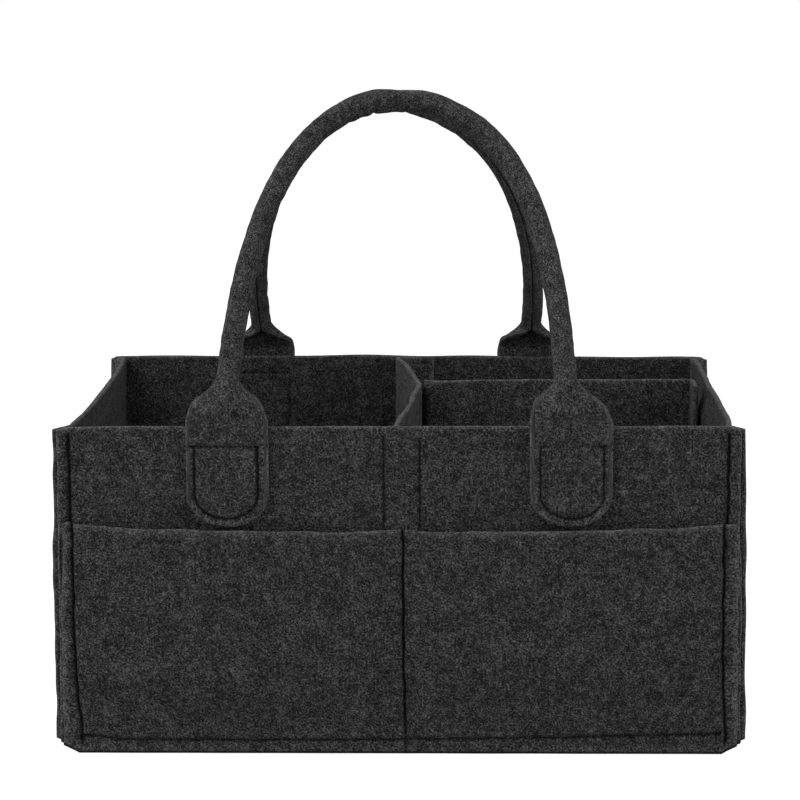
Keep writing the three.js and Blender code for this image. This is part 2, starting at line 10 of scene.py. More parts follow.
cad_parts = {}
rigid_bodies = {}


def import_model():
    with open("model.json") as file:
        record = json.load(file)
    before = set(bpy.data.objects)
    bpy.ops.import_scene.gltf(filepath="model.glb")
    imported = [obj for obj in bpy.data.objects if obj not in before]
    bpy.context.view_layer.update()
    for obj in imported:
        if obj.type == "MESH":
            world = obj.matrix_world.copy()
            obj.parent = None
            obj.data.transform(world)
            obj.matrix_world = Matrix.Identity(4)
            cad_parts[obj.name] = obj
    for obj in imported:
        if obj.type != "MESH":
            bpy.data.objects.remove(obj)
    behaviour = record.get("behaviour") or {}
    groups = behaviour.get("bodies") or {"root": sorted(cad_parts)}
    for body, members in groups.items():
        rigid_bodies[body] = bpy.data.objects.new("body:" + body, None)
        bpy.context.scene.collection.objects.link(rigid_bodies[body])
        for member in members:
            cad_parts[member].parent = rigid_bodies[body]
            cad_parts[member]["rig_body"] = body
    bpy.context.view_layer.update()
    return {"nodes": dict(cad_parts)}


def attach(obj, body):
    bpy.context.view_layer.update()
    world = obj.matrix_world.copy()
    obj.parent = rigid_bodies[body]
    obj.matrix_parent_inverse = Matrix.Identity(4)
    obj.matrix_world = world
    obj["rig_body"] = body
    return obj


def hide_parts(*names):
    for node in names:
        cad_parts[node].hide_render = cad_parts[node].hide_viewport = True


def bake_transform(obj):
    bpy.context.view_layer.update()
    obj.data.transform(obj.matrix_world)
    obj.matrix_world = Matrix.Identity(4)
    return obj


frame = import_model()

mm = 0.001
scene = bpy.context.scene
print("frame loaded:", len(frame["nodes"]), "nodes")


def newObject(name, data):
    made = bpy.data.objects.new(name, data)
    scene.collection.objects.link(made)
    return made


# the photograph's view
view = {
    "place": (0.0349, -1.6086, 0.4546),  # metres
    "turn": 1.31,  # degrees to the left of straight ahead
    "down": 9.76,
    "roll": -0.26,
    "lens": 124.01, "sensor": 36,  # mm
    "near": 0.05, "far": 30,  # metres
}
cameraData = bpy.data.cameras.new("photoCamera")
cameraData.lens, cameraData.sensor_width = view["lens"], view["sensor"]
cameraData.clip_start, cameraData.clip_end = view["near"], view["far"]
camera = newObject("photoCamera", cameraData)
camera.matrix_world = (
    Matrix.Translation(view["place"])
    @ Matrix.Rotation(math.radians(view["turn"]), 4, "Z")
    @ Matrix.Rotation(math.radians(90 - view["down"]), 4, "X")
    @ Matrix.Rotation(math.radians(view["roll"]), 4, "Z")
)
scene.camera = camera
scene.view_settings.view_transform = "Standard"


def smooth(t):
    # 0 up to 0, 1 from 1 on, and a soft rise between
    held = np.clip(t, 0, 1)
    return held * held * (3 - 2 * held)


def rising(value, start, end):
    # 0 up to start and 1 from end on; with end below start it rises downwards
    return smooth((value - start) / (end - start))


def ripple(a, b, size, seed):
    # seven sine waves of lengths near size, in directions and phases drawn from the seed; about -1 to 1
    draw = np.random.default_rng(seed)
    total = 0
    for _ in range(7):
        angle, phase = draw.uniform(0, math.tau, 2)
        wave = size * draw.uniform(0.7, 1.5)
        total = total + np.sin(math.tau * (a * math.cos(angle) + b * math.sin(angle)) / wave + phase)
    return total / 3.2


def unit(vectors):
    # vectors along the last axis, each at length 1
    return vectors / np.maximum(np.linalg.norm(vectors, axis=-1, keepdims=True), 1e-9)


grid = {"endStep": 0.3, "endGrows": 0.4, "fineGrows": 0.35}  # steps in mm, and how fast they widen


def gridLines(low, high, step, fine=()):
    # lines step apart, but endStep apart at both ends and fineStep apart at each (spot, fineStep)
    x = np.linspace(low, high, 6000)
    between = np.minimum(step, grid["endStep"] + grid["endGrows"] * np.minimum(x - low, high - x))
    for spot, fineStep in fine:
        between = np.minimum(between, fineStep + grid["fineGrows"] * np.abs(x - spot))
    count = np.concatenate([[0], np.cumsum((x[1] - x[0]) / between[:-1])])
    return np.interp(np.linspace(0, count[-1], int(np.ceil(count[-1])) + 1), count, x)


def cutGrid(along, shares, low, high):
    # an upright sheet's cut coordinates: along it, and up it from its lower to its upper edge
    return np.repeat(along[:, None], len(shares), 1), low + (high - low) * shares


def roundedPath(corners, radius):
    # a plan line through the corners, with an arc of nine points at each inner corner that turns
    corners = [np.array(c, float) for c in corners]
    points = [corners[0]]
    for before, corner, after in zip(corners, corners[1:], corners[2:]):
        back, ahead = unit(before - corner), unit(after - corner)
        half = math.acos(np.clip(back @ ahead, -1, 1)) / 2
        if half > 1.5:
            points.append(corner)
            continue
        reach = radius / math.tan(half)
        centre = corner + unit(back + ahead) * radius / math.sin(half)
        start, end = corner + back * reach - centre, corner + ahead * reach - centre
        points += [centre + unit(start + (end - start) * t) * radius for t in np.linspace(0, 1, 9)]
    points.append(corners[-1])
    return np.array(points)


def alongPath(path, distances):
    # points of a path at distances along it
    steps = np.linalg.norm(np.diff(path, axis=0), axis=1)
    travelled = np.concatenate([[0], np.cumsum(steps)])
    return np.stack([np.interp(distances, travelled, path[:, k]) for k in range(path.shape[1])], -1)


def pathLength(path):
    return float(np.linalg.norm(np.diff(path, axis=0), axis=1).sum())


def makeObject(name, points, quads, corners, values=None):
    # a mesh from points in mm and four-sided faces; corners are UVs in metres, values point attributes
    mesh = bpy.data.meshes.new(name)
    mesh.vertices.add(len(points))
    mesh.vertices.foreach_set("co", (points * mm).astype(np.float32).ravel())
    mesh.loops.add(quads.size)
    mesh.loops.foreach_set("vertex_index", quads.astype(np.int32).ravel())
    mesh.polygons.add(len(quads))
    mesh.polygons.foreach_set("loop_start", np.arange(0, quads.size, 4, dtype=np.int32))
    mesh.polygons.foreach_set("use_smooth", np.ones(len(quads), bool))
    layer = mesh.uv_layers.new(name="flat")
    layer.data.foreach_set("uv", corners.astype(np.float32).ravel())
    for key, value in (values or {}).items():
        attribute = mesh.attributes.new(key, "FLOAT", "POINT")
        attribute.data.foreach_set("value", value.astype(np.float32).ravel())
    mesh.update(calc_edges=True)
    mesh.validate()
    return newObject(name, mesh)


def letOut(across, up, surface, edge, soften):
    # cut coordinates, let out over the rounded cut edges by how much longer the surface is there
    # than its grid step, so that a pattern keeps its scale round the edge
    rounded = edge < soften
    moved = []
    for axis, cut in ((0, across), (1, up)):
        longer = np.linalg.norm(np.diff(surface, axis=axis), axis=2) - np.abs(np.diff(cut, axis=axis))
        count = rounded.shape[axis]
        near = np.take(rounded, range(1, count), axis) | np.take(rounded, range(count - 1), axis)
        total = np.insert(np.cumsum(np.maximum(0, longer) * near, axis=axis), 0, 0.0, axis=axis)
        moved.append(cut + total - np.take(total, [count // 2], axis=axis))
    return np.stack(moved, -1).reshape(-1, 2) * mm


# how far apart, in metres, two sheets and a sheet's two faces read the felt's pattern
patternShift = {"sheets": np.array([0.37, 0.61]), "faces": np.array([0.83, 0.29]), "count": 0}
edgePower = 2.6  # how square a cut edge is: 2 would be a half circle


def feltSheet(name, across, up, middle, thickness=3.0, soften=1.3, outer=0.0, inner=0.0, edge=None,
              pressedAndShade=0.0, innerPressedAndShade=0.0, turned=False, cutReach=2.4):
    # A closed sheet. across and up are its cut coordinates in mm, middle its middle surface. A face
    # stands off the middle by (thickness/2 + outer or inner) * (1 - (1 - e/soften)^p)^(1/p) at a
    # distance e from the cut edge. turned puts the outer face on the other side.
    # the two pressed values darken the outer and the inner face: partly felt pressed under stitches, partly
    # painted shade
    if edge is None:
        sides = np.minimum(across - across[:1], across[-1:] - across)
        edge = np.minimum(sides, np.minimum(up - up[:, :1], up[:, -1:] - up))
    normal = unit(np.cross(np.gradient(middle, axis=0), np.gradient(middle, axis=1)))
    if turned:
        normal = -normal
    left = 1 - np.clip(edge / soften, 0, 1)
    roundness = np.maximum(0, 1 - left**edgePower) ** (1 / edgePower)
    outside = middle + normal * ((thickness / 2 + outer) * roundness)[..., None]
    inside = middle - normal * ((thickness / 2 + inner) * roundness)[..., None]
    m, n = across.shape
    outerIndex = np.arange(m * n).reshape(m, n)
    innerIndex = outerIndex.copy()
    innerIndex[1:-1, 1:-1] = m * n + np.arange((m - 2) * (n - 2)).reshape(m - 2, n - 2)
    points = np.concatenate([outside.reshape(-1, 3), inside[1:-1, 1:-1].reshape(-1, 3)])

    def quadsOf(index, reverse):
        around = [index[:-1, :-1], index[1:, :-1], index[1:, 1:], index[:-1, 1:]]
        return np.stack(around[::-1] if reverse else around, -1).reshape(-1, 4)

    def bothFaces(outerValue, innerValue):
        # the outer face's value at each point, and inside the shared edge the inner face's
        flat = 0 * across
        return np.concatenate([(outerValue + flat).ravel(), (innerValue + flat)[1:-1, 1:-1].ravel()])

    outerQuads = quadsOf(outerIndex, turned)
    patternShift["count"] += 1
    shift = patternShift["sheets"] * patternShift["count"]
    outerFlat = letOut(across, up, outside, edge, soften) + shift
    innerFlat = letOut(across, up, inside, edge, soften) + shift + patternShift["faces"]
    corners = np.concatenate([outerFlat[outerQuads], innerFlat[quadsOf(outerIndex, not turned)]])
    cut = 1 - smooth(edge / cutReach)
    return makeObject(name, points, np.concatenate([outerQuads, quadsOf(innerIndex, not turned)]), corners,
                      {"cutEdge": bothFaces(cut, cut), "pressedAndShade": bothFaces(pressedAndShade, innerPressedAndShade)})


def place(piece, material, node):
    # gives a piece its finish, hangs it on what its CAD node rides on, and hides that node
    piece.data.materials.append(material)
    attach(piece, frame["nodes"][node]["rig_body"])
    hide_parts(node)


# materials
def toLinear(hexColour):
    # each sRGB part c becomes c/12.92 when small, else ((c + 0.055)/1.055)^2.4
    parts = [int(hexColour[i : i + 2], 16) / 255 for i in (1, 3, 5)]
    return [c / 12.92 if c <= 0.04045 else ((c + 0.055) / 1.055) ** 2.4 for c in parts] + [1.0]


def addNode(tree, kind, settings=None, inputs=None):
    # one node with its own settings, and its inputs as values or as sockets to link from
    node = tree.nodes.new(kind)
    for key, value in (settings or {}).items():
        setattr(node, key, value)
    for key, value in (inputs or {}).items():
        if isinstance(value, bpy.types.NodeSocket):
            tree.links.new(value, node.inputs[key])
        else:
            node.inputs[key].default_value = value
    return node


def newMaterial(name):
    material = bpy.data.materials.new(name)
    material.use_nodes = True
    material.node_tree.nodes.clear()
    return material, material.node_tree


def mathNode(tree, operation, *values, kind="ShaderNodeMath"):
    return addNode(tree, kind, {"operation": operation}, dict(enumerate(values))).outputs[0]


def vectorMath(tree, operation, *values):
    return mathNode(tree, operation, *values, kind="ShaderNodeVectorMath")


def flatMap(tree):
    # the place on the flat cut sheet, in metres
    return addNode(tree, "ShaderNodeUVMap", {"uv_map": "flat"}).outputs[0]


def pointValue(tree, name):
    return addNode(tree, "ShaderNodeAttribute", {"attribute_name": name}).outputs["Fac"]


def noise(tree, vector, size, detail, roughness=0.5):
    # flat noise with features about size long, in the vector's unit
    return addNode(tree, "ShaderNodeTexNoise", {"noise_dimensions": "2D"}, {
        "Vector": vector, "Scale": 1 / size, "Detail": detail, "Roughness": roughness}).outputs


def shades(tree, value, stops):
    # stops are (place, colour) pairs from left to right
    ramp = addNode(tree, "ShaderNodeValToRGB", None, {"Fac": value})
    elements = ramp.color_ramp.elements
    while len(elements) < len(stops):
        elements.new(0.5)
    for element, (spot, colour) in zip(elements, stops):
        element.position = spot
        element.color = toLinear(colour)
    return ramp.outputs[0]


def addSurface(tree, colour, height, strength, depth, look, invert=False):
    # the end of a material: a bump depth metres high, and a shader with the look's own settings
    bump = addNode(tree, "ShaderNodeBump", {"invert": invert}, {
        "Height": height, "Strength": strength, "Distance": depth})
    shader = addNode(tree, "ShaderNodeBsdfPrincipled", None, {
        "Base Color": colour, "Normal": bump.outputs[0], **look})
    addNode(tree, "ShaderNodeOutputMaterial", None, {"Surface": shader.outputs[0]})


feltLook = {
    "fibreLong": 4.4,  # mm along a fibre streak
    "fibreWide": 0.85,  # mm; real fibres are 0.03 mm, so tufts are drawn instead
    "layers": ((38, 0), (-47, 31), (8, 57), (78, 83)),  # each layer's turn in degrees and shift in mm
    "curl": 8.0, "bend": 3.0,  # mm, size of the swirls that bend the streaks, and how far they do
    "grain": 1.05,  # mm, fuzz and needle holes between the streaks
    "clump": 4.2,  # mm, tufts of one shade
    "blotch": 13.0,  # mm, thick and thin places of the web
    "grainShare": 0.85, "clumpShare": 0.28, "blotchShare": 0.22,  # beside 1 for the streaks
    "from": 1.04, "to": 1.63,  # what range of the sum the four shades take up
    "shadesAt": (0.0, 0.33, 0.73, 1.0),
    "packedAndShaded": "#020202",  # near-black: felt pressed under a line of stitches, and painted shade in grooves, creases, dimples and along bottom edges
    "bump": 0.75, "bumpDepth": 1.2 * mm,
}


def needleFelt(name, colours, cutLift, sheen):
    # Needle-punched polyester felt, dyed in the fibre: a heather of dark and pale fibres that lie
    # every way, with a soft bloom at grazing angles and paler, fuzzier cut edges.
    material, tree = newMaterial(name)
    toMm = vectorMath(tree, "MULTIPLY", flatMap(tree), (1 / mm,) * 3)
    swirl = noise(tree, toMm, feltLook["curl"], 1.0)["Color"]
    centred = vectorMath(tree, "SUBTRACT", swirl, (0.5, 0.5, 0.5))
    bent = vectorMath(tree, "MULTIPLY_ADD", centred, (feltLook["bend"],) * 3, toMm)
    streaks = None
    for turn, shift in feltLook["layers"]:
        laid = addNode(tree, "ShaderNodeMapping", {"vector_type": "POINT"}, {
            "Vector": bent, "Location": (shift, shift * 1.7, 0), "Rotation": (0, 0, math.radians(turn))})
        drawn = vectorMath(tree, "MULTIPLY", laid.outputs[0],
                           (1 / feltLook["fibreLong"], 1 / feltLook["fibreWide"], 1))
        fibre = noise(tree, drawn, 1.0, 1.5, 0.55)[0]
        streaks = fibre if streaks is None else mathNode(tree, "MAXIMUM", streaks, fibre)
    grain = noise(tree, toMm, feltLook["grain"], 1.5, 0.6)[0]
    blotch = noise(tree, toMm, feltLook["blotch"], 2.0)[0]
    clump = noise(tree, bent, feltLook["clump"], 1.0)[0]
    fuzz = mathNode(tree, "MULTIPLY_ADD", grain, feltLook["grainShare"], streaks)
    tufts = mathNode(tree, "MULTIPLY_ADD", clump, feltLook["clumpShare"], fuzz)
    web = mathNode(tree, "MULTIPLY_ADD", blotch, feltLook["blotchShare"], tufts)
    spread = addNode(tree, "ShaderNodeMapRange", {"clamp": False}, {
        "Value": web, "From Min": feltLook["from"], "From Max": feltLook["to"]}).outputs[0]
    # fibre ends stand out of a cut edge, and are paler than the face
    lifted = mathNode(tree, "MULTIPLY_ADD", pointValue(tree, "cutEdge"), cutLift, spread)
    colour = shades(tree, lifted, list(zip(feltLook["shadesAt"], colours)))
    # felt pressed under a line of stitches is darker, and painted shade darkens grooves, creases, dimples
    # and bottom edges where shade falls
    packedAndShaded = addNode(tree, "ShaderNodeMix", {"data_type": "RGBA"}, {
        "Factor": pointValue(tree, "pressedAndShade"), 6: colour, 7: toLinear(feltLook["packedAndShaded"])}).outputs[2]
    addSurface(tree, packedAndShaded, fuzz, feltLook["bump"], feltLook["bumpDepth"], {
        "Roughness": 0.95, "Specular IOR Level": 0.06, "Sheen Weight": sheen, "Sheen Roughness": 0.5,
        "Sheen Tint": toLinear("#8a8a8a")})
    return material


# painted light: the handles and dividers are the same felt as the body, with shades painted a little paler
# for the light they catch
bodyFelt, handleFeltPaintedPaler, dividerFeltPaintedPaler = (needleFelt("needlePunchedFelt" + word, *look) for word, *look in (
    ("Charcoal", ("#121212", "#252525", "#484848", "#616161"), 0.26, 0.08),
    ("Handle", ("#131313", "#272727", "#4a4a4a", "#646464"), 0.22, 0.09),
    ("Divider", ("#141414", "#2a2a2a", "#505050", "#686868"), 0.18, 0.1)))


def sewingThread():
    # Spun polyester thread: near-black, two plies that show as slanted ridges, a dull shine.
    material, tree = newMaterial("spunPolyesterThread")
    plies = addNode(tree, "ShaderNodeTexWave", {"wave_type": "BANDS", "bands_direction": "DIAGONAL"}, {
        "Vector": flatMap(tree), "Scale": 560, "Distortion": 0.6, "Detail": 1.0}).outputs["Fac"]
    colour = shades(tree, plies, [(0.0, "#030303"), (1.0, "#101010")])
    addSurface(tree, colour, plies, 0.5, 0.1 * mm, {"Roughness": 0.65, "Specular IOR Level": 0.12})
    return material


def hookAndLoop():
    # Woven nylon hook and loop tape: rows of tiny loops or hooks 1 mm apart on a dark ground.
    material, tree = newMaterial("wovenNylonHookAndLoop")
    loops = addNode(tree, "ShaderNodeTexVoronoi", {"feature": "F1"}, {
        "Vector": flatMap(tree), "Scale": 1000, "Randomness": 0.55}).outputs["Distance"]
    colour = shades(tree, loops, [(0.0, "#2e2e2f"), (0.7, "#0f0f10")])
    addSurface(tree, colour, loops, 0.8, 0.6 * mm, {
        "Roughness": 0.6, "Specular IOR Level": 0.25, "Sheen Weight": 0.1}, invert=True)
    return material


def cottonCord():
    # Twisted cotton filler cord: pale, undyed, with fine fibres along each strand.
    material, tree = newMaterial("twistedCottonCord")
    fibres = noise(tree, vectorMath(tree, "MULTIPLY", flatMap(tree), (900, 260, 1)), 1.0, 3.0)[0]
    colour = shades(tree, fibres, [(0.3, "#8f8c85"), (0.7, "#c9c6be")])
    addSurface(tree, colour, fibres, 0.5, 0.3 * mm, {"Roughness": 0.9})
    return material


def pressedBoard():
    # Pressed fibreboard: pale brown chips and dark flecks, dull and faintly rough.
    material, tree = newMaterial("pressedFibreboard")
    spot = addNode(tree, "ShaderNodeTexCoord").outputs["Object"]
    chips = addNode(tree, "ShaderNodeTexNoise", None, {
        "Vector": spot, "Scale": 420, "Detail": 4.0, "Roughness": 0.7}).outputs[0]
    colour = shades(tree, chips, [(0.35, "#4e463c"), (0.65, "#8b8172")])
    addSurface(tree, colour, chips, 0.3, 0.4 * mm, {"Roughness": 0.85})
    return material


threadLook = sewingThread()
tapeLook = hookAndLoop()
cordLook = cottonCord()
boardMaterials = frame["nodes"]["base_board"].data.materials
boardMaterials.clear()
boardMaterials.append(pressedBoard())
print("materials made")

# the bag's own sizes, as in the solids
bag = {
    "width": 380, "depth": 250, "height": 184.5, "felt": 3, "gap": 0.3,
    "margin": 8,  # front and back panels past the side walls
    "spread": 2.2,  # how much farther out the margins stand at the ground
    "rimDrop": 2, "cutWide": 11, "cutHigh": 6,
    "seamHigh": 9.5,  # the bottom seam
    "leftLean": 2.7, "rightLean": -2.1, "leanPower": 1.5,
    "leftShape": 3, "rightShape": 16,  # how soon the lean begins at the wall's ends
    "fold": 2,
    "flare": 8, "flareFrom": 150,  # how far, and from what height, the back corners' margins lean back
    "upperEnd": (150, 175),  # between these heights the left back corner's margins come to stand out
}
felt, gap, rimHigh = bag["felt"], bag["gap"], bag["height"]
wallOutside = bag["width"] / 2 - bag["margin"]
wallInside = wallOutside - felt
frontFace = bag["depth"] / 2
frontInside = frontFace - felt
flangeY = frontInside - gap - felt / 2
# lines of stitches: the shade in them, and the ridges of felt beside them
seamLook = {"shade": 0.85, "ridgeAt": 2.6, "ridgeWide": 1.6, "ridgeHigh": 0.38}


def spreadAt(x, z):
    # sign(x) * spread * share past the wall * (1 - z/height)
    share = np.maximum(0, np.abs(x) - wallOutside) / bag["margin"]
    return np.sign(x) * bag["spread"] * share * (1 - z / rimHigh)


def groundEdge(x):
    # 0, then rising to cutHigh over the outer cutWide
    past = np.abs(x) - (bag["width"] / 2 - bag["cutWide"])
    return np.maximum(0, past / bag["cutWide"] * bag["cutHigh"])


def rimEdge(x):
    # height, then falling by rimDrop over the margin
    return rimHigh - np.maximum(0, np.abs(x) - wallOutside) / bag["margin"] * bag["rimDrop"]


def leanAt(side, y, z):
    # side * lean * (1 - |y/half|^shape) * (z/height)^leanPower
    half = frontInside - gap - felt
    lean, shape = (bag["leftLean"], bag["leftShape"]) if side < 0 else (bag["rightLean"], bag["rightShape"])
    share = np.maximum(0, 1 - np.abs(y / half) ** shape)
    return side * lean * share * np.maximum(0, z / rimHigh) ** bag["leanPower"]


def groove(distance, wide, deep):
    # deep * exp(-(distance/wide)^2)
    return deep * np.exp(-((distance / wide) ** 2))


def sewnIn(distance, wide=1.0, deep=1.9):
    # the face beside a tight line of stitches: a narrow groove between two low ridges
    ridge = groove(distance - seamLook["ridgeAt"], seamLook["ridgeWide"], seamLook["ridgeHigh"])
    return -groove(distance, wide, deep) + ridge


def backRimLift(x):
    # how much higher than the front rim: 1 up to the right handle, and less at the corners
    return 1 - rising(x, 20, 80) - 0.4 * np.clip((np.abs(x) - wallOutside) / bag["margin"], 0, 1)


def backFlare(x, z):
    # flare * share of the margin * share of the height above flareFrom, squared
    share = smooth((np.abs(x) - wallOutside + 1) / 6)
    return bag["flare"] * share * (np.maximum(0, z - bag["flareFrom"]) / (rimHigh - bag["flareFrom"])) ** 2


# front and back panels
panel = {
    "edge": 188.2,  # cut edge; the side wall's flange shows past it
    "seams": (-181.4, 180.9), "seamTop": 180.8,  # corner seams
    "tapeLines": (-8.2, 11.6), "backTapeLines": (-1.5, 18.5),  # where the loop tapes' stitches show
    "tapeTop": 178, "tapeFoot": 128, "backTapeFoot": 22,
    "drawnIn": 0.9,  # the front's right margin above the pocket
    "backIn": 1.0,  # the back's left margin at its upper end
    "looseMargin": 0.45,  # how much thicker the margins are past their seams
    "step": 2.6,
}
# the four patches: middle of the D-shaped line of stitches, half its width, its foot and its top
patchSeams = {
    "front": (-94.7, 95.15), "back": (-92.3, 79.5),
    "half": 17.4, "foot": 133.4, "top": 173.8, "footRound": 13.8,
    "runsOn": 0.22,  # how fast the level top's groove fades past the left side
}


def dSeamDistance(x, z):
    # distance to the D-shaped line of stitches: half an ellipse, two sides and a level top whose
    # groove runs on, ever shallower, to the strap's left edge
    half, high = patchSeams["half"], patchSeams["footRound"]
    base, top = patchSeams["foot"] + high, patchSeams["top"]
    away = np.hypot(x / half, (z - base) / high)
    slope = np.hypot(x / half**2, (z - base) / high**2) / np.maximum(away, 1e-6)
    ellipse = np.abs(away - 1) / np.maximum(slope, 1e-6)
    sides = np.hypot(np.abs(x) - half, np.maximum(0, z - top))
    level = np.hypot(z - top, np.maximum(0, x - half) + patchSeams["runsOn"] * np.maximum(0, -x - half))
    return np.where(z < base, ellipse, np.minimum(sides, level))


def buildPanel(name, side, tapeLines, tapeFoot):
    sewn = patchSeams["front" if side < 0 else "back"]
    fine = [(x, 0.35) for x in panel["seams"]] + [(x, 0.5) for x in tapeLines]
    fine += [(x + s * patchSeams["half"], 0.6) for x in sewn for s in (-1, 1)]
    xs = gridLines(-panel["edge"], panel["edge"], panel["step"], fine)
    zs = gridLines(0, rimHigh, panel["step"], [
        (9, 0.8), (patchSeams["top"], 0.5), (patchSeams["foot"], 0.7), (140, 1.0)]) / rimHigh
    low = groundEdge(xs[:, None])
    x, z = cutGrid(xs, zs, low, rimEdge(xs[:, None]))
    nearSides = 1 - smooth((panel["edge"] - np.abs(x)) / 14)
    xOut = x + spreadAt(x, z) + nearSides * 0.35 * ripple(x * 0.1, z, 23, 5 + side)
    y = side * (frontFace - felt / 2 + 0.25 * ripple(x, z, 34, 11 + side) * rising(z, 14, 44))
    rimWave = smooth(zs) ** 6 * 0.35 * ripple(x, z * 0, 58, 3 + side)
    if side > 0:
        rimWave = rimWave + zs**6 * backRimLift(x)
        xOut = xOut + panel["backIn"] * rising(-x, 178, 184) * rising(z, *bag["upperEnd"])
        y = y + backFlare(x, z)
    else:
        xOut = xOut - panel["drawnIn"] * rising(x, 184, 188) * rising(z, 100, 130)
    unsteady = 0.3 * ripple(x * 0, z, 13, 14 + side)
    seam = np.minimum(*(np.abs(x - line + unsteady) for line in panel["seams"]))
    seam = seam + 8 * np.maximum(0, z - panel["seamTop"]) / 3
    tapes = np.minimum(*(np.abs(x - line) for line in tapeLines))
    tapes = tapes + np.maximum(0, z - panel["tapeTop"]) + np.maximum(0, tapeFoot - z)
    outer = sewnIn(seam) - groove(tapes, 0.9, 0.9) + groove(tapes - 2.4, 1.4, 0.15)
    outer = outer + 0.1 * ripple(x, z, 9, 7) + panel["looseMargin"] * rising(np.abs(x), 181.5, 184)
    # darker in the seam and tape lines, partly pressed felt and partly painted shade, and a painted contact
    # shadow along the bottom edge
    pressAndShade = groove(seam, seamLook["shade"], 1) + groove(tapes, 0.75, 0.75) + groove(z - low - 1.4, 0.8, 0.8)
    if side < 0:
        # the shade beside the pocket's left end
        pressAndShade = pressAndShade + groove(x + 186.3, 0.6, 0.9) * rising(z, 88, 100) * rising(z, 127, 123)
    # the patches' stitches come through on the inside, the left one's more than the right one's; their
    # grooves there are darker, partly pressed felt and partly painted shade
    through = np.minimum(dSeamDistance(x - sewn[0], z), 0.9 + dSeamDistance(x - sewn[1], z))
    inner = 0.1 * ripple(x, z, 11, 9) - groove(through, 1.0, 0.8)
    made = feltSheet(name, x, z, np.stack([xOut, y, z + rimWave], -1), outer=outer, inner=inner,
                     pressedAndShade=np.clip(pressAndShade, 0, 1), innerPressedAndShade=groove(through, 0.8, 0.5), turned=side > 0)
    place(made, bodyFelt, name)


buildPanel("front_panel", -1, panel["tapeLines"], panel["tapeFoot"])
buildPanel("back_panel", 1, panel["backTapeLines"], panel["backTapeFoot"])

# side walls, folded out at both ends
wall = {
    "flangeEdge": 190.6, "step": 2.6,
    "heldIn": 2.1, "heldY": 28, "heldWide": 26,  # the tapes draw it in to the cross divider's folded end
    "flangeOut": 0.9,  # the left front flange, most beside the pocket's mouth
    "backOut": 1.6,  # the left back flange's upper end, drawn in
    "rubbed": 26,  # how far in the leant-back corner margins are painted as pale as a cut edge: painted light where they catch the light
}


def buildWall(name, side):
    wallX, edgeX = wallOutside - felt / 2, wall["flangeEdge"]
    plan = ((edgeX, -flangeY), (wallX, -flangeY), (wallX, flangeY), (edgeX, flangeY))
    path = roundedPath([(side * x, y) for x, y in plan], bag["fold"])
    length, fold = pathLength(path), edgeX - wallX
    along = gridLines(0, length, wall["step"], [(fold - 2, 0.4), (length - fold + 2, 0.4)])
    px, py = np.split(alongPath(path, along), 2, axis=1)
    zs = gridLines(0, rimHigh, wall["step"], [(bag["seamHigh"], 0.8)]) / rimHigh
    low = groundEdge(px)
    a, z = cutGrid(along, zs, low, rimEdge(px))
    onWall = smooth((wallOutside + 1 - np.abs(px)) / 3)
    flange, atBack = 1 - onWall, rising(py, 90, 110)
    wave = 0.25 * ripple(py, z, 62, 21 + side) * onWall * rising(z, 12, 42)
    held = groove(py - wall["heldY"], wall["heldWide"], 1) * rising(z, 178, 164) * onWall * (side > 0)
    x = px + spreadAt(px, z) - leanAt(side, py, z) * (1 - held) - wall["heldIn"] * held
    x = x + side * wave * (1 - held) + side * flange * 0.4 * ripple(a * 0.1, z, 26, 31 + side)
    if side < 0:
        x = x - flange * groove(z - 98, 36, wall["flangeOut"]) * (py < 0)
        x = x + wall["backOut"] * flange * atBack * rising(z, *bag["upperEnd"])
    y = py + atBack * backFlare(px, z)
    rimWave = zs**12 * 0.3 * ripple(py, z * 0, 45, 41 + side)
    rimWave = rimWave + zs**6 * rising(py, 90, 115) * backRimLift(px)
    bottom = np.abs(z - bag["seamHigh"])
    # darker in the bottom seam, partly pressed felt and partly painted shade, and a painted contact shadow
    # along the bottom edge
    pressAndShade = groove(bottom, seamLook["shade"], 0.9) * onWall + groove(z - low, 1.0, 0.8)
    if side > 0:
        # shade on the flange beside the front panel's drawn-in edge
        pressAndShade = pressAndShade + groove(px - panel["edge"], 0.6, 0.8) * (py < 0) * rising(z, 104, 124)
    # the cut edge's pale band is widened over the leant-back corner margins as painted light
    made = feltSheet(name, a, z, np.stack([x, y, z + rimWave], -1),
                     outer=sewnIn(bottom) * onWall + 0.1 * ripple(a, z, 9, 27),
                     inner=0.2 * ripple(a, z, 13, 29) + 0.12 * ripple(a, z, 6, 30), pressedAndShade=pressAndShade,
                     turned=side < 0, cutReach=2.4 + wall["rubbed"] * flange * atBack * rising(z, 158, 168))
    place(made, bodyFelt, name)


buildWall("left_side_panel", -1)
buildWall("right_side_panel", 1)

# outside pockets: one sheet sewn at both ends, along the foot and up the middle
pocket = {
    "height": 130.4, "sag": 3.3, "edge": 186.6, "seamX": 179.3,
    "leftSeam": (-177.0, -180.3),  # at the foot, and from seamRise up
    "middleSeam": (3.4, 2.4),
    "rightSeam": (181.2, 178.8),
    "seamRise": 60,
    "bulge": 6.0, "bulgeRise": 42, "flatness": 4, "step": 2.0,
    "footOut": 1.6,  # how far the cut edge stands out again below its foot seam
    "leftOut": 1.2,  # how far the left end stands out above 80 mm
    "pinch": 1.3,  # how far the seam's first stitches lift the rim's left end
}


def pocketRim(x):
    # height - sag * (1 - (x/seam)^2)
    return pocket["height"] - pocket["sag"] * np.maximum(0, 1 - (x / pocket["seamX"]) ** 2)


def seamAt(ends, z):
    # a seam's x, from its foot to its upper end
    return ends[0] + (ends[1] - ends[0]) * smooth(z / pocket["seamRise"])


def footSeam(x):
    # the bottom seam's height: 7.3 + 0.00006 (x + 90)^2, lifting 2 mm more at the left corner
    return 7.3 + 0.00006 * (x + 90) ** 2 + 2 * rising(x, -150, -175)


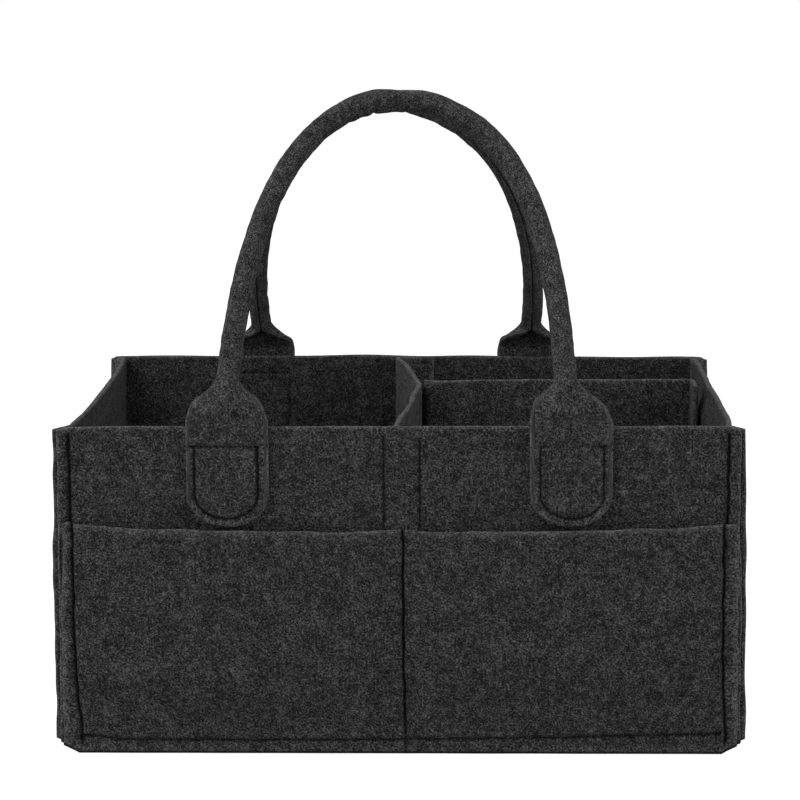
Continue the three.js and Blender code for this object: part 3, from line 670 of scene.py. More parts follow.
def bulgeAt(x, z):
    # bulge * (1 - |share across|^flatness) * smooth rise above the foot seam, for each pocket
    left, centre, right = (seamAt(pocket[k], z) for k in ("leftSeam", "middleSeam", "rightSeam"))
    start, end = np.where(x < centre, left, centre), np.where(x < centre, centre, right)
    share = np.clip((2 * x - start - end) / (end - start), -1, 1)
    rise = smooth((z - bag["seamHigh"]) / pocket["bulgeRise"])
    return pocket["bulge"] * (1 - np.abs(share) ** pocket["flatness"]) * rise


def pocketSeamDistance(x, z):
    # distance to the nearest line of stitches on the pocket, each a little unsteady; the end seams
    # fade out below the foot's
    away = np.abs(z - footSeam(x) + 0.3 * ripple(x, z * 0, 24, 58)) + 2 * np.maximum(0, np.abs(x) - 178.5)
    for seam, seed, fade in (("leftSeam", 52, 0.3), ("middleSeam", 54, 0), ("rightSeam", 56, 0.3)):
        line = np.abs(x - seamAt(pocket[seam], z) + 0.3 * ripple(x * 0, z, 15, seed))
        away = np.minimum(away, line + fade * np.maximum(0, 7 - z))
    return away


def buildPocket():
    name = "front_pocket_panel"
    xs = gridLines(-pocket["edge"], pocket["edge"], pocket["step"], [
        (-180.3, 0.4), (-178.8, 0.4), (-177.4, 0.4), (2.5, 0.35), (3.3, 0.35), (179, 0.4), (180.8, 0.4)])
    zs = gridLines(0, pocket["height"], pocket["step"], [(5.5, 0.45), (8, 0.45), (11, 0.5)])
    zs = zs / pocket["height"]
    low = groundEdge(xs[:, None])
    x, z = cutGrid(xs, zs, low, pocketRim(xs[:, None]))
    away = pocketSeamDistance(x, z)
    bulge = bulgeAt(x, z) + smooth(away / 30) * 0.5 * ripple(x, z, 48, 51)
    y = -(frontFace + gap + felt / 2 + bulge + pocket["footOut"] * (1 - smooth(z / 7)))
    xOut = x + spreadAt(x, z) + rising(np.abs(x), 178, 184) * 0.4 * ripple(x * 0.1, z, 17, 57)
    xOut = xOut + pocket["leftOut"] * rising(-x, 181, 186) * rising(z, 80, 110)
    rimWave = zs**10 * (0.45 * ripple(x, z * 0, 40, 59) + groove(x + 182.5, 3.2, pocket["pinch"]))
    # the felt draws up in small waves beside the stitches
    pucker = 0.25 * np.exp(-away / 5) * ripple(x, z, 8, 53)
    # the foot's line is pulled less tight than the upright ones, so its groove is shallower and its painted
    # shade fainter
    footOnly = rising(z, 18, 13) * rising(np.abs(x), 176, 172)
    # darker in the lines of stitches, partly pressed felt and partly painted shade, and a painted contact
    # shadow along the bottom edge
    pressAndShade = groove(away, seamLook["shade"], 1) * (1 - 0.5 * footOnly) + groove(z - low - 0.7, 0.85, 0.95)
    made = feltSheet(name, x, z, np.stack([xOut, y, z + rimWave], -1),
                     outer=sewnIn(away) * (1 - 0.25 * footOnly) + pucker + 0.1 * ripple(x, z, 9, 61),
                     inner=0.1 * ripple(x, z, 11, 63), pressedAndShade=np.clip(pressAndShade, 0, 1), cutReach=4.4)
    place(made, bodyFelt, name)


buildPocket()
print("walls and pockets made")

# floor
base = {
    "skirt": 9, "board": 2, "linerInset": 1.5,
    "tight": 0.25,  # how far the skirt is pressed into the walls it is sewn to
    "corner": 2.0, "radius": 1.8,  # rounding in plan, and of the fold
    "intoSeam": 1.8,  # how far the skirt's corners run out into the corner seams
    "step": 3.2,
}
floorTop = base["skirt"] + felt
linerLow = floorTop + gap + base["board"] + gap


def buildLiner():
    x, y = wallInside - base["linerInset"], frontInside - base["linerInset"]
    a, b = np.meshgrid(gridLines(-x, x, 4.0), gridLines(-y, y, 4.0), indexing="ij")
    height = linerLow + felt / 2 + 0.12 * ripple(a, b, 70, 71)
    made = feltSheet("floor_liner", a, b, np.stack([a, b, height], -1), outer=0.08 * ripple(a, b, 10, 73))
    place(made, bodyFelt, "floor_liner")


def buildBase():
    # rings of a rounded rectangle: over the plate from its middle line, round the fold, down the skirt
    halfX, halfY = wallInside + base["tight"] - felt / 2, frontInside + base["tight"] - felt / 2
    corner, radius = base["corner"], base["radius"]
    ringPath = roundedPath([(halfX, 0), (halfX, halfY), (-halfX, halfY), (-halfX, -halfY),
                            (halfX, -halfY), (halfX, 0)], corner)
    bend = corner * math.pi / 2
    straights = (halfY - corner - bend / 2, *(2 * (half - corner) for half in (halfX, halfY, halfX)))
    turns = np.cumsum([length + bend for length in straights])
    around = gridLines(0, pathLength(ringPath), base["step"], [(turn, 0.4) for turn in turns])
    outline = alongPath(ringPath, around)
    intoSeam = smooth((np.abs(outline[:, 1]) - halfY + 4) / 4) * (np.abs(outline[:, 0]) > halfX - 3)
    outline[:, 0] += np.sign(outline[:, 0]) * base["intoSeam"] * intoSeam
    spine = np.stack([np.clip(outline[:, 0], halfY - halfX, halfX - halfY), outline[:, 1] * 0], -1)
    toEdge = np.linalg.norm(outline - spine, axis=1)[:, None]
    plate = floorTop - felt / 2
    arc = radius * math.pi / 2
    over = toEdge.max() - radius
    rows = gridLines(0, over + arc + plate - radius, base["step"], [(over + arc / 2, 0.5)])
    rows = rows[rows > 1.0]
    share = np.clip(rows / over, 0, 1)
    turn = np.clip((rows - over) / radius, 0, math.pi / 2)
    inwards = radius * (1 - np.sin(turn))
    reach = (toEdge - radius) * share + (radius - inwards) * (share >= 1)
    plan = spine[:, None, :] + ((outline - spine) / toEdge)[:, None, :] * reach[..., None]
    a, b = np.meshgrid(around, rows, indexing="ij")
    height = plate - radius * (1 - np.cos(turn)) - np.maximum(0, b - over - arc)
    made = feltSheet("base_panel", a, b, np.concatenate([plan, height[..., None]], -1),
                     edge=np.minimum(b[:, -1:] - b, 50.0), outer=0.06 * ripple(a, b, 9, 75), turned=True)
    place(made, bodyFelt, "base_panel")


buildLiner()
buildBase()
print("floor made")

# dividers
divider = {
    "low": linerLow + felt + gap, "high": rimHigh - 2.5,
    "frontFlap": 20, "backFlap": 23.5, "crossFlap": 26, "innerFlap": 22,
    "frontX": -3.6, "backX": -7.3, "pulledX": 9.2, "pullY": 38, "pullPower": 1.15, "crossEndY": 42,
    "tapeStack": 3.3, "innerStack": 1.4,
    "backRise": 3.9,  # how much higher its back end stands, held against the back panel
    "crossRise": 1.6, "crossCut": 11,  # the flap on the centre divider is cut off at a slope
    "dimple": 1.3,  # where a stitch through the tapes draws the felt in just behind the pull
    "step": 2.6,
}
flapY = frontInside - divider["tapeStack"] - felt / 2


def dividerX(y):
    # pulledX + (the end's x - pulledX) * (distance from the pull / reach)^pullPower
    y = np.asarray(y, float)
    ahead = y < divider["pullY"]
    reach = np.where(ahead, divider["pullY"] + frontInside, frontInside - divider["pullY"])
    endX = np.where(ahead, divider["frontX"], divider["backX"])
    away = np.minimum(1, np.abs(y - divider["pullY"]) / reach)
    return divider["pulledX"] + (endX - divider["pulledX"]) * away ** divider["pullPower"]


def besideDivider(start, end, off):
    # nine points of the centre divider's line between two y, moved to its right by off
    y = np.linspace(start, end, 9)
    slope = dividerX(y + 0.5) - dividerX(y - 0.5)
    across = np.stack([np.ones_like(slope), -slope], -1) / np.sqrt(1 + slope**2)[:, None]
    return np.stack([dividerX(y), y], -1) + across * off


def standingFelt(name, path, flaps, highAt, seed, sway, heldAt=()):
    # a sheet upright on a plan path with a flap folded at each end; sway is how far it leaves the path
    # between them, heldAt where it can't, and highAt its upper edge at distances along the path
    low, high = divider["low"], divider["high"]
    length = pathLength(path)
    folds = [flaps[0] - 2, length - flaps[1] + 2]
    along = gridLines(0, length, divider["step"], [(f, 0.6) for f in [*folds, *heldAt]])
    plan = alongPath(path, along)
    share = (gridLines(low, high, divider["step"]) - low) / (high - low)
    a, z = cutGrid(along, share, low, highAt(along, plan)[:, None])
    free = smooth(np.minimum(a - 24, length - 28 - a) / 30)
    dimple = 0.0
    for spot in heldAt:
        free = free * smooth(np.abs(a - spot) / 45)
        dimple = dimple + groove(np.hypot(a - spot - 5, z - 176), 3.0, 1.0)
    off = sway * ripple(a, z, 85, seed) * free
    tangent = unit(np.gradient(plan, axis=0))
    x, y = plan[:, :1] + tangent[:, 1:] * off, plan[:, 1:] - tangent[:, :1] * off
    lift = share**12 * 0.35 * ripple(a, z * 0, 44, seed + 1)
    outer, inner = (0.16 * ripple(a, z, 13, faceSeed) + 0.08 * ripple(a, z, 6, faceSeed + 2)
                    for faceSeed in (seed + 2, seed + 3))
    # painted shade darkens the inner face in each dimple
    made = feltSheet(name, a, z, np.stack([x, y, z + lift], -1), outer=outer,
                     inner=inner - divider["dimple"] * dimple, innerPressedAndShade=0.6 * dimple)
    place(made, dividerFeltPaintedPaler, name)


def centreTop(along, plan):
    return divider["high"] + divider["backRise"] * rising(plan[:, 1], 45, 105)


def crossTop(along, plan):
    cut = divider["crossCut"] * smooth((divider["innerFlap"] - 1.5 - along) / 10)
    return divider["high"] + divider["crossRise"] - cut


centreLine = [(float(dividerX(y)), y) for y in np.linspace(-flapY, flapY, 41)]
centrePath = roundedPath([(centreLine[0][0] + divider["frontFlap"], -flapY), *centreLine,
                          (centreLine[-1][0] + divider["backFlap"], flapY)], bag["fold"])
pulledAt = divider["frontFlap"] + pathLength(np.array([p for p in centreLine if p[1] < divider["pullY"]]))
standingFelt("centre_divider", centrePath, (divider["frontFlap"], divider["backFlap"]), centreTop, 81, 0.8,
             [pulledAt])

crossWallX = wallInside - divider["tapeStack"] - felt / 2
crossEnd = divider["crossEndY"] - divider["crossFlap"]
innerLine = besideDivider(divider["pullY"] + divider["innerFlap"], divider["pullY"] + bag["fold"],
                          felt + divider["innerStack"])
crossPath = roundedPath([*innerLine[:-1], (innerLine[-1][0], divider["pullY"]),
                         (crossWallX, divider["crossEndY"]), (crossWallX, crossEnd)], bag["fold"])
standingFelt("cross_divider", crossPath, (divider["innerFlap"], divider["crossFlap"]), crossTop, 91, 0.5)
print("dividers made")

# hook and loop tapes
tape = {
    "thick": 1.2, "innerThick": 0.6, "rightThick": 0.4, "halfWide": 10,
    "low": 22, "high": rimHigh - 4, "rightHigh": 154, "hookDrop": 2.5, "innerDrop": 11,
    "frontX": 1.3, "backX": 8.5,
}


def tapeStrip(name, path, high=tape["high"], thick=tape["thick"]):
    # a thin strip upright on a plan path, its long edges bound and round
    path = np.array(path, float)
    along = gridLines(0, pathLength(path), 2.5)
    plan = alongPath(path, along)
    a, z = np.meshgrid(along, gridLines(tape["low"], high, 4.0), indexing="ij")
    middle = np.stack([plan[:, :1] + 0 * z, plan[:, 1:] + 0 * z, z], -1)
    place(feltSheet(name, a, z, middle, thickness=thick, soften=0.6), tapeLook, name)


tapeY = frontInside - gap - tape["thick"] / 2
for name, side, x in (("front_loop_tape", -1, tape["frontX"]), ("back_loop_tape", 1, tape["backX"])):
    tapeStrip(name, [(x - tape["halfWide"], side * tapeY), (x + tape["halfWide"], side * tapeY)])
hookY = flapY + felt / 2 + gap + tape["thick"] / 2
for name, side, flap in (("front_hook_tape", -1, "frontFlap"), ("back_hook_tape", 1, "backFlap")):
    hookFrom = dividerX(side * flapY) + bag["fold"]
    hookTo = dividerX(side * flapY) + divider[flap] - 0.5
    tapeStrip(name, [(hookFrom, side * hookY), (hookTo, side * hookY)], tape["high"] - tape["hookDrop"])
rightHookX = wallInside - divider["tapeStack"] + 0.1 + tape["rightThick"] / 2
wallTapeX = rightHookX + tape["rightThick"] + 0.1
wallTapeY = divider["crossEndY"] - divider["crossFlap"] / 2
for name, x, fromY, toY in (
        ("right_loop_tape", wallTapeX, wallTapeY - tape["halfWide"], wallTapeY + tape["halfWide"]),
        ("right_hook_tape", rightHookX, crossEnd + 1.5, divider["crossEndY"] - bag["fold"])):
    tapeStrip(name, [(x, fromY), (x, toY)], tape["rightHigh"], tape["rightThick"])
loopOff = (felt + tape["innerThick"]) / 2 + 0.05
hookOff = felt / 2 + divider["innerStack"] - tape["innerThick"] / 2 - 0.05
for name, off in (("divider_loop_tape", loopOff), ("inner_hook_tape", hookOff)):
    path = besideDivider(divider["pullY"] + bag["fold"], divider["pullY"] + divider["innerFlap"] - 1, off)
    tapeStrip(name, path, tape["high"] - tape["innerDrop"], tape["innerThick"])
print("tapes made")

# handles: one strap each, sewn flat at both ends and rolled between
strap = {
    "tube": 6.35, "seam": 0.25, "halfWide": 22.8, "patchBottom": 128.5, "round": 18.7,
    "standUp": 2.2, "hingeRise": 0.8, "reach": 207.5, "foot": 15,
    "shoulderPower": 1.4, "neckPower": 1.6,  # how late it draws in to the tube's width, and how roundly
    "rollPower": 2.8,  # how late it rolls up
    "bend": 5.0,
    "foldBelow": 3, "foldAbove": 7,  # where it bends, from the hinge line
    "twist": 0.16,  # radians
    "topSlack": 0.45, "rightPull": 0.8,  # the D is pulled least tight along its top and on the right patch
    "creaseSlant": 0.26, "creaseWide": 1.7, "creaseShade": 0.35,
}
frontStrap = {
    "name": "front", "side": -1, "patches": (-93.9, 94.7), "feet": (-94.5, 92.2), "crownX": -1.8,
    "lowerPulls": ((-90.1, 125.8), (89.1, 92.9)), "upperPulls": (-63.3, 76.5), "neck": 25.8, "seed": 101,
    "crownLift": 1.3,  # the roll stands up a little just right of its top
    "creases": ((-13.4, 1.4), (-21, 0.45), (-29, 0.6), (-43, 0.35), (5, 0.4)),  # x and depth, underneath
}
backStrap = {
    "name": "back", "side": 1, "patches": (-94.5, 80), "feet": (-91.1, 78), "crownX": -12.3,
    "lowerPulls": ((-104.3, 147.9), (87.6, 160.3)), "upperPulls": (-38.1, 31.2), "neck": 23.2, "seed": 131,
    "crownLift": 0.0, "creases": ((-24, 1.0), (-9, 0.6), (8, 0.8)),
}
patchMiddle = frontFace + gap + felt / 2
hingeY = frontFace + gap + felt + gap + felt / 2
hingeZ = rimHigh + strap["standUp"] + strap["hingeRise"]
strapLean = math.asin((hingeY - strap["tube"] - gap / 2) / strap["reach"])
cornerAlong = (hingeY - patchMiddle) / math.sin(strapLean)  # where the upright patch meets the lean
cornerZ = hingeZ + cornerAlong * math.cos(strapLean)
patchRise = cornerZ - strap["patchBottom"]
hingeRow = patchRise - cornerAlong  # from the patch's bottom to the hinge line


def bezier(a, b, c, d):
    # (1-t)^3 a + 3 (1-t)^2 t b + 3 (1-t) t^2 c + t^3 d
    t = np.linspace(0, 1, 400)[:, None]
    a, b, c, d = (np.array(p, float) for p in (a, b, c, d))
    return (1 - t) ** 3 * a + 3 * (1 - t) ** 2 * t * b + 3 * (1 - t) * t**2 * c + t**3 * d


def strapLine(handle):
    # the strap's middle line: x, and how far up it is along the patch and then the lean
    left, right = handle["patches"]
    leftFoot, rightFoot = ((x, strap["foot"]) for x in handle["feet"])
    crown, leftHigh, rightHigh = ((x, strap["reach"]) for x in (handle["crownX"], *handle["upperPulls"]))
    arch = np.concatenate([bezier(leftFoot, handle["lowerPulls"][0], leftHigh, crown),
                           bezier(crown, rightHigh, handle["lowerPulls"][1], rightFoot)[1:]])
    arch[:, 1] += groove(arch[:, 0] - 14, 9, handle["crownLift"]) * (arch[:, 1] > 150)
    line = np.concatenate([[(left, 0)], arch, [(right, 0)]]) - [0, cornerAlong]
    return np.concatenate([[(left, -patchRise)], line, [(right, -patchRise)]])


def onStrapPlane(side, x, rise, inward):
    # rise 0 is where the patch's plane meets the lean; the turn between them is spread over 2 bends
    bend = strap["bend"]
    fine = np.linspace(-bend, bend, 400)
    step = fine[1] - fine[0]
    angle = strapLean * rising(fine, -bend, bend)
    turn = strapLean * rising(rise, -bend, bend)
    past = np.maximum(0, rise - bend)
    yMoved = np.interp(rise, fine, np.cumsum(np.sin(angle)) * step) + past * math.sin(strapLean)
    zMoved = np.interp(rise, fine, np.cumsum(np.cos(angle)) * step) + past * math.cos(strapLean)
    y = patchMiddle - yMoved - inward * np.cos(turn)
    z = cornerZ - bend + zMoved + np.minimum(0, rise + bend) - inward * np.sin(turn)
    return np.stack([x, side * y, z], -1)


def strapSection(distance, neck):
    # width, turn and shift of the roll at a distance above the hinge line
    tubeMiddle = strap["tube"] - felt / 2
    fullRoll = math.tau - strap["seam"] / (strap["tube"] - felt)
    tubeWide = tubeMiddle * fullRoll
    share = np.clip(distance / neck, 0, 1)
    narrowed = (1 - share ** strap["shoulderPower"]) ** strap["neckPower"]
    wide = tubeWide + (2 * strap["halfWide"] - tubeWide) * narrowed
    turn = np.maximum(1e-3, fullRoll * share ** strap["rollPower"])
    return wide, turn, tubeMiddle * smooth(share)


def buildHandle(handle):
    side, neck, seed = handle["side"], handle["neck"], handle["seed"]
    name = handle["name"] + "_handle"
    line = strapLine(handle)
    total = pathLength(line)
    half, roundHigh = strap["halfWide"], strap["round"]
    # the rows stand closer over the D's foot, at its top, at the hinge line and at the neck's end
    close = [5, 12, 19, 26, 33, 40, hingeRow - 13, hingeRow, hingeRow + neck]
    rows = gridLines(0, total, 1.7, [(p, 0.75) for d in close for p in (d, total - d)])
    r, across = np.meshgrid(rows, gridLines(-half, half, 0.85), indexing="ij")
    # the rows bend round the patch's rounded bottom and straighten over 40 mm
    bottom = roundHigh * (1 - np.sqrt(np.maximum(0, 1 - (across / half) ** 2)))
    fromEnd = np.minimum(r, total - r)
    shifted = fromEnd + bottom * np.maximum(0, 1 - fromEnd / 40)
    isLeft = r < total / 2
    d = np.where(isLeft, shifted, total - shifted)
    isLeft = d < total / 2
    centre = alongPath(line, d)
    tangent = unit(alongPath(line, d + 0.5) - alongPath(line, d - 0.5))
    upright = np.stack([np.zeros_like(d), np.where(isLeft, 1.0, -1.0)], -1)
    above = shifted - hingeRow
    follow = smooth(above / neck - 0.5)[..., None]
    heading = unit(upright * (1 - follow) + tangent * follow)
    wide, turn, shift = strapSection(above, neck)
    v = across / (2 * half)
    angle = turn * v + strap["twist"] * ripple(d, d * 0, 210, seed) * smooth(above / 60 - 0.6)
    radius = wide / turn
    tubeShare = smooth(above / neck)
    fat = 1 + 0.025 * ripple(d, across, 60, seed + 1) * tubeShare
    isFlat = turn < 0.02
    acrossMoved = np.where(isFlat, v * wide, radius * np.sin(angle) * fat)
    inward = np.where(isFlat, 0.0, radius * (1 - np.cos(angle) * fat) - shift)
    middle = onStrapPlane(side, centre[..., 0] + heading[..., 1] * acrossMoved,
                          centre[..., 1] - heading[..., 0] * acrossMoved, inward)
    # distance to the cut edge: sideways and down, joined as 1/sqrt(1/h^2 + 1/v^2)
    onRound = shifted < roundHigh
    lower = np.clip((roundHigh - shifted) / roundHigh, 0, 1)
    sideways = np.where(onRound, half * np.sqrt(1 - lower**2), wide / 2)
    sideways = np.maximum(0, sideways - np.abs(v) * np.where(onRound, 2 * half, wide))
    down = np.maximum(0, shifted - bottom)
    edge = sideways * down / np.maximum(np.hypot(sideways, down), 1e-6)
    sewn = np.array(patchSeams[handle["name"]]) - handle["patches"]
    drift = np.where(isLeft, sewn[0], -sewn[1])
    seam = dSeamDistance(across - drift, strap["patchBottom"] + np.minimum(shifted, hingeRow))
    seam = seam + 3 * np.maximum(0, above)
    onPatch = 1 - smooth((above + 6) / 8)
    atTop = smooth((strap["patchBottom"] + shifted - patchSeams["top"]) / 1.5 + 2)
    atTop = atTop * (np.abs(across - drift) < patchSeams["half"] - 2)
    pull = (1 - strap["topSlack"] * atTop) * np.where(isLeft, 1, strap["rightPull"])
    outer = sewnIn(seam, 0.8, 1.6) * onPatch * pull + 0.3 * (1 - np.exp(-seam / 3)) * onPatch
    outer = outer + 0.1 * ripple(d, across, 8, seed + 2)
    outer = outer + 0.2 * tubeShare * ripple(d, across * 0.4, 15, seed + 3)
    # darker in the D's stitch groove, partly pressed felt and partly painted shade
    pressAndShade = groove(seam, 0.68, 1.0) * pull
    # bending the roll creases it underneath, across and a little aslant, and painted shade darkens each
    # crease
    for spot, deep in handle["creases"]:
        crease = groove(centre[..., 0] - spot + strap["creaseSlant"] * across, strap["creaseWide"], 1.0)
        crease = crease * smooth((across + 7) / 13) * rising(above, 150, 170)
        outer = outer - deep * crease
        pressAndShade = pressAndShade + strap["creaseShade"] * deep * crease
    made = feltSheet(name, d, across, middle, outer=outer, inner=0.08 * ripple(d, across, 9, seed + 4),
                     edge=edge, pressedAndShade=np.clip(pressAndShade, 0, 1), turned=side < 0, cutReach=4.2)
    made.data.materials.append(handleFeltPaintedPaler)
    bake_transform(made)
    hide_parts(name, handle["name"] + "_left_patch", handle["name"] + "_right_patch")


core = {"radius": 2.85, "lobes": 0.08, "lay": 0.35, "step": 2.0}


def buildCore(handle):
    # three strands twisted into a cord: radius * (1 + lobes * cos(3 angle - lay * distance along it))
    name = handle["name"] + "_handle_core"
    line = strapLine(handle)
    start = hingeRow + handle["neck"]
    along = gridLines(start, pathLength(line) - start, core["step"])
    a, t = np.meshgrid(along, np.linspace(0, math.tau, 25)[:-1], indexing="ij")
    centre = alongPath(line, a)
    tangent = unit(np.gradient(centre, axis=0))
    fromEnd = np.minimum(a - along[0], along[-1] - a)
    size = core["radius"] * np.sqrt(np.clip(1 - (1 - np.clip(fromEnd / 2, 0, 1)) ** 2, 0, 1))
    size = size * (1 + core["lobes"] * np.cos(3 * t - a * core["lay"]))
    out = size * np.cos(t)
    points = onStrapPlane(handle["side"], centre[..., 0] + tangent[..., 1] * out,
                          centre[..., 1] - tangent[..., 0] * out, size * np.sin(t))
    index = np.arange(a.size).reshape(a.shape)
    index[0, :], index[-1, :] = index[0, 0], index[-1, 0]
    ahead = np.roll(index, -1, axis=1)
    quads = np.stack([index[:-1], ahead[:-1], ahead[1:], index[1:]], -1).reshape(-1, 4)
    if handle["side"] > 0:
        quads = quads[:, ::-1]
    flat = np.stack([a, t * 3], -1).reshape(-1, 2) * mm
    place(makeObject(name, points.reshape(-1, 3), quads, flat[quads]), cordLook, name)


for handle in (frontStrap, backStrap):
    buildHandle(handle)
    buildCore(handle)
print("handles made")

# stitches
stitch = {
    "pitch": 4.2, "long": 3.3, "thick": 0.7, "sink": 1.3, "shallow": 0.75, "dive": 0.7, "sides": 6,
    "rings": np.array([-1, -0.86, -0.5, 0, 0.5, 0.86, 1.0]),  # in half lengths from its middle
    "sizes": np.array([0.35, 0.8, 1, 1, 1, 0.8, 0.35]),  # how thick it is at each ring
}
facing = {
    "front": (0, -1, 0), "pocket": (0, -1, 0), "back": (0, 1, 0), "left": (-1, 0, 0), "right": (1, 0, 0),
}


def stitchRow(name, path, node=None, sink=stitch["sink"]):
    # a row of short threads along a path: each rises out of the felt, lies on it and dives again;
    # the name's first word says which way the felt faces
    length = pathLength(path)
    count = max(2, int(length / stitch["pitch"]))
    starts = (np.arange(count) + 0.5) * length / count
    t, sides = stitch["rings"], stitch["sides"]
    rings = len(t)
    centre = alongPath(path, starts[:, None] + t * stitch["long"] / 2)
    up = np.broadcast_to(np.array(facing[name.split("_")[0]], float), centre.shape)
    centre = centre - up * (sink + stitch["dive"] * t[:, None] ** 4)
    ahead = unit(np.gradient(centre, axis=1))
    across = unit(np.cross(up, ahead))
    around = np.arange(sides) * math.tau / sides
    ring = (across[:, :, None, :] * np.cos(around)[:, None]
            + np.cross(ahead, across)[:, :, None, :] * np.sin(around)[:, None])
    points = centre[:, :, None, :] + ring * (stitch["thick"] / 2 * stitch["sizes"])[:, None, None]
    index = np.arange(rings * sides).reshape(rings, sides)
    following = np.roll(index, -1, axis=1)
    quads = np.stack([index[:-1], index[1:], following[1:], following[:-1]], -1).reshape(-1, 4)
    caps = np.array([[0, 1, 2, 3], [0, 3, 4, 5]])
    lastCaps = (rings - 1) * sides + caps[:, ::-1]
    one = np.concatenate([quads, caps, lastCaps])
    allQuads = (one[None] + (np.arange(count) * rings * sides)[:, None, None]).reshape(-1, 4)
    flatOne = np.stack(np.broadcast_arrays(t[:, None] * stitch["long"] / 2, around * 0.4), -1)
    flat = np.tile(flatOne.reshape(-1, 2), (count, 1)) * mm
    made = makeObject(name, points.reshape(-1, 3), allQuads, flat[allQuads])
    place(made, threadLook, node or name)


pocketFace = frontFace + gap + felt


def straight(a, b, count=60):
    return np.linspace(np.array(a, float), np.array(b, float), count)


def downPanel(x, y, high, low, count):
    # down the face of the front or back panel, whose margins spread towards the ground
    line = straight((x, y, high), (x, y, low), count)
    line[:, 0] += spreadAt(line[:, 0], line[:, 2])
    return line


def onPocket(x, z):
    return np.stack([x + spreadAt(x, z), -pocketFace - bulgeAt(x, z), z], -1)


endRim = pocketRim(179)
for word, side, seamX in (("left", -1, panel["seams"][0]), ("right", 1, panel["seams"][1])):
    # above the pocket the seam lies on the front panel, below it on the pocket panel
    name = "front_" + word + "_corner_thread"
    stitchRow(name, downPanel(seamX, -frontFace, panel["seamTop"], endRim + 3, 40))
    z = np.linspace(endRim - 2.5, 14, 80)
    stitchRow("front_" + word + "_pocket_thread", onPocket(seamAt(pocket[word + "Seam"], z), z), name)
    stitchRow("back_" + word + "_corner_thread", downPanel(seamX, frontFace, panel["seamTop"], 10, 60))
    ends = ((side * wallOutside, y, bag["seamHigh"]) for y in (-112, 112))
    stitchRow(word + "_bottom_thread", straight(*ends))

footX = np.linspace(-176, 178, 160)
stitchRow("front_bottom_thread", onPocket(footX, footSeam(footX)))
stitchRow("back_bottom_thread", straight(*((x, frontFace, bag["seamHigh"]) for x in (-178, 178))))
z = np.linspace(pocketRim(2.4) - 2.0, 11, 80)
stitchRow("pocket_middle_thread", onPocket(seamAt(pocket["middleSeam"], z), z))


def dSeamPath(centre, side):
    # round the D's foot, up one side, along its level top and down the other side
    half, high, top = patchSeams["half"], patchSeams["footRound"], patchSeams["top"]
    lower = patchSeams["foot"] + high
    turn = np.linspace(0, math.pi, 60)
    foot = np.stack([-half * np.cos(turn), lower - high * np.sin(turn)], -1)
    plan = np.concatenate([foot, [[half, top], [-half, top], [-half, lower]]])
    x, z = plan[:, 0] + centre, plan[:, 1]
    return np.stack([x, x * 0 + side * (pocketFace + 0.1), z], -1)


for handle in (frontStrap, backStrap):
    for word, centre in zip(("left", "right"), patchSeams[handle["name"]]):
        stitchRow(handle["name"] + "_" + word + "_patch_thread", dSeamPath(centre, handle["side"]))

for word, y, xs, high, low, count in (("front", -frontFace, panel["tapeLines"], 176, 132, 20),
                                      ("back", frontFace, panel["backTapeLines"], 178, 24, 40)):
    node = word + "_tape_thread"
    for letter, x in zip("ab", xs):
        stitchRow(node + "_" + letter, downPanel(x, y, high, low, count), node, stitch["shallow"])
print("stitches made")

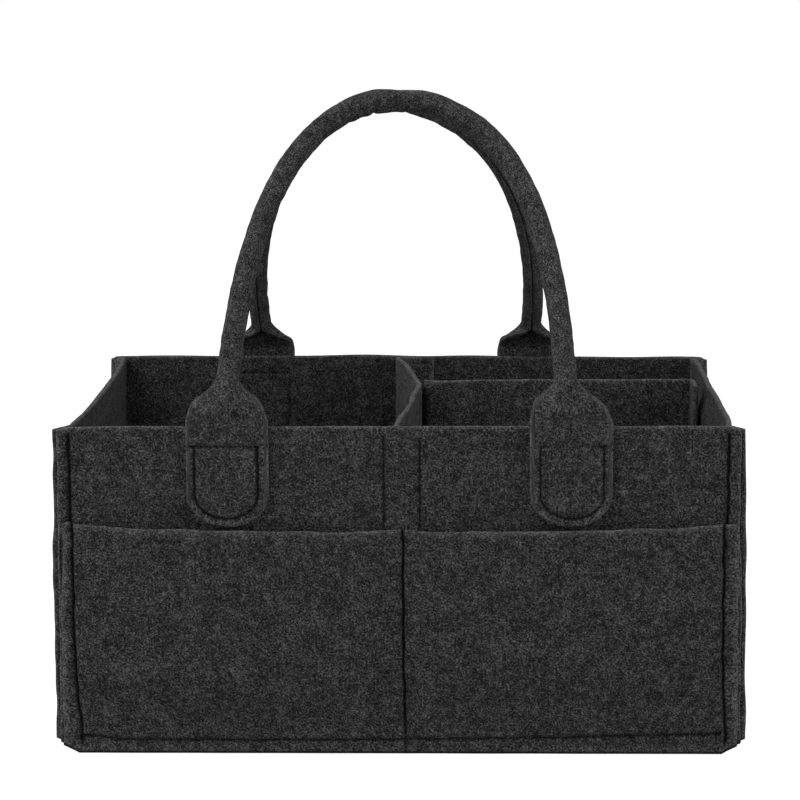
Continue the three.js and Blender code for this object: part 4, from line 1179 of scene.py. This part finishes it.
# floor and light
studio = {
    "floor": "#c4c4c4", "floorSize": ((-5, 5), (-5, 6)), "floorZ": -0.0004,  # metres
    "shadowShare": 0.45,  # how much of the floor's own shading the camera sees; the rest is plain white
    "glow": 1.7,  # how bright that white is
    "world": 0.52,  # light from all round; the camera sees it plain white
    "aim": (0, 0, 0.1),
    "softboxes": (  # name, place, width and height in metres, power in watts
        ("topSoftbox", (-1.05, -0.3, 1.5), 1.8, 1.4, 28.5),
        ("frontSoftbox", (-1.2, -2.3, 0.3), 2.0, 0.8, 12.8),
        ("sideSoftbox", (1.6, -0.5, 0.8), 1.2, 1.0, 13),
    ),
}
white = (1, 1, 1, 1)


def lookedAt(tree):
    # 1 for what the camera sees, straight, mirrored or through glass
    rays = addNode(tree, "ShaderNodeLightPath").outputs
    seen = mathNode(tree, "MAXIMUM", rays["Is Camera Ray"], rays["Is Glossy Ray"])
    return mathNode(tree, "MAXIMUM", seen, rays["Is Transmission Ray"])


def mixShaders(tree, share, first, second):
    return addNode(tree, "ShaderNodeMixShader", None, {
        0: share, 1: first.outputs[0], 2: second.outputs[0]}).outputs[0]


(west, east), (near, far) = studio["floorSize"]
floorCorners = ((west, near), (east, near), (east, far), (west, far))
floorMesh = bpy.data.meshes.new("studioFloor")
floorMesh.from_pydata([(x, y, studio["floorZ"]) for x, y in floorCorners], [], [(0, 1, 2, 3)])
newObject("studioFloor", floorMesh)
floorLook, tree = newMaterial("paintedStudioFloor")
seen = mathNode(tree, "MULTIPLY", lookedAt(tree), 1 - studio["shadowShare"])
painted = addNode(tree, "ShaderNodeBsdfDiffuse", None, {"Color": toLinear(studio["floor"])})
glow = addNode(tree, "ShaderNodeEmission", None, {"Color": white, "Strength": studio["glow"]})
addNode(tree, "ShaderNodeOutputMaterial", None, {"Surface": mixShaders(tree, seen, painted, glow)})
floorMesh.materials.append(floorLook)

world = bpy.data.worlds.new("studioWorld")
scene.world = world
world.use_nodes = True
tree = world.node_tree
tree.nodes.clear()
ambient, plain = (addNode(tree, "ShaderNodeBackground", None, {"Color": white, "Strength": strength})
                  for strength in (studio["world"], 1.0))
addNode(tree, "ShaderNodeOutputWorld", None, {"Surface": mixShaders(tree, lookedAt(tree), ambient, plain)})

for name, spot, wide, high, power in studio["softboxes"]:
    data = bpy.data.lights.new(name, "AREA")
    data.shape, data.size, data.size_y, data.energy = "RECTANGLE", wide, high, power
    away = (np.array(spot) - np.array(studio["aim"])).tolist()
    turn = Vector(away).to_track_quat("Z", "Y").to_matrix().to_4x4()
    newObject(name, data).matrix_world = Matrix.Translation(spot) @ turn
print("stage made")
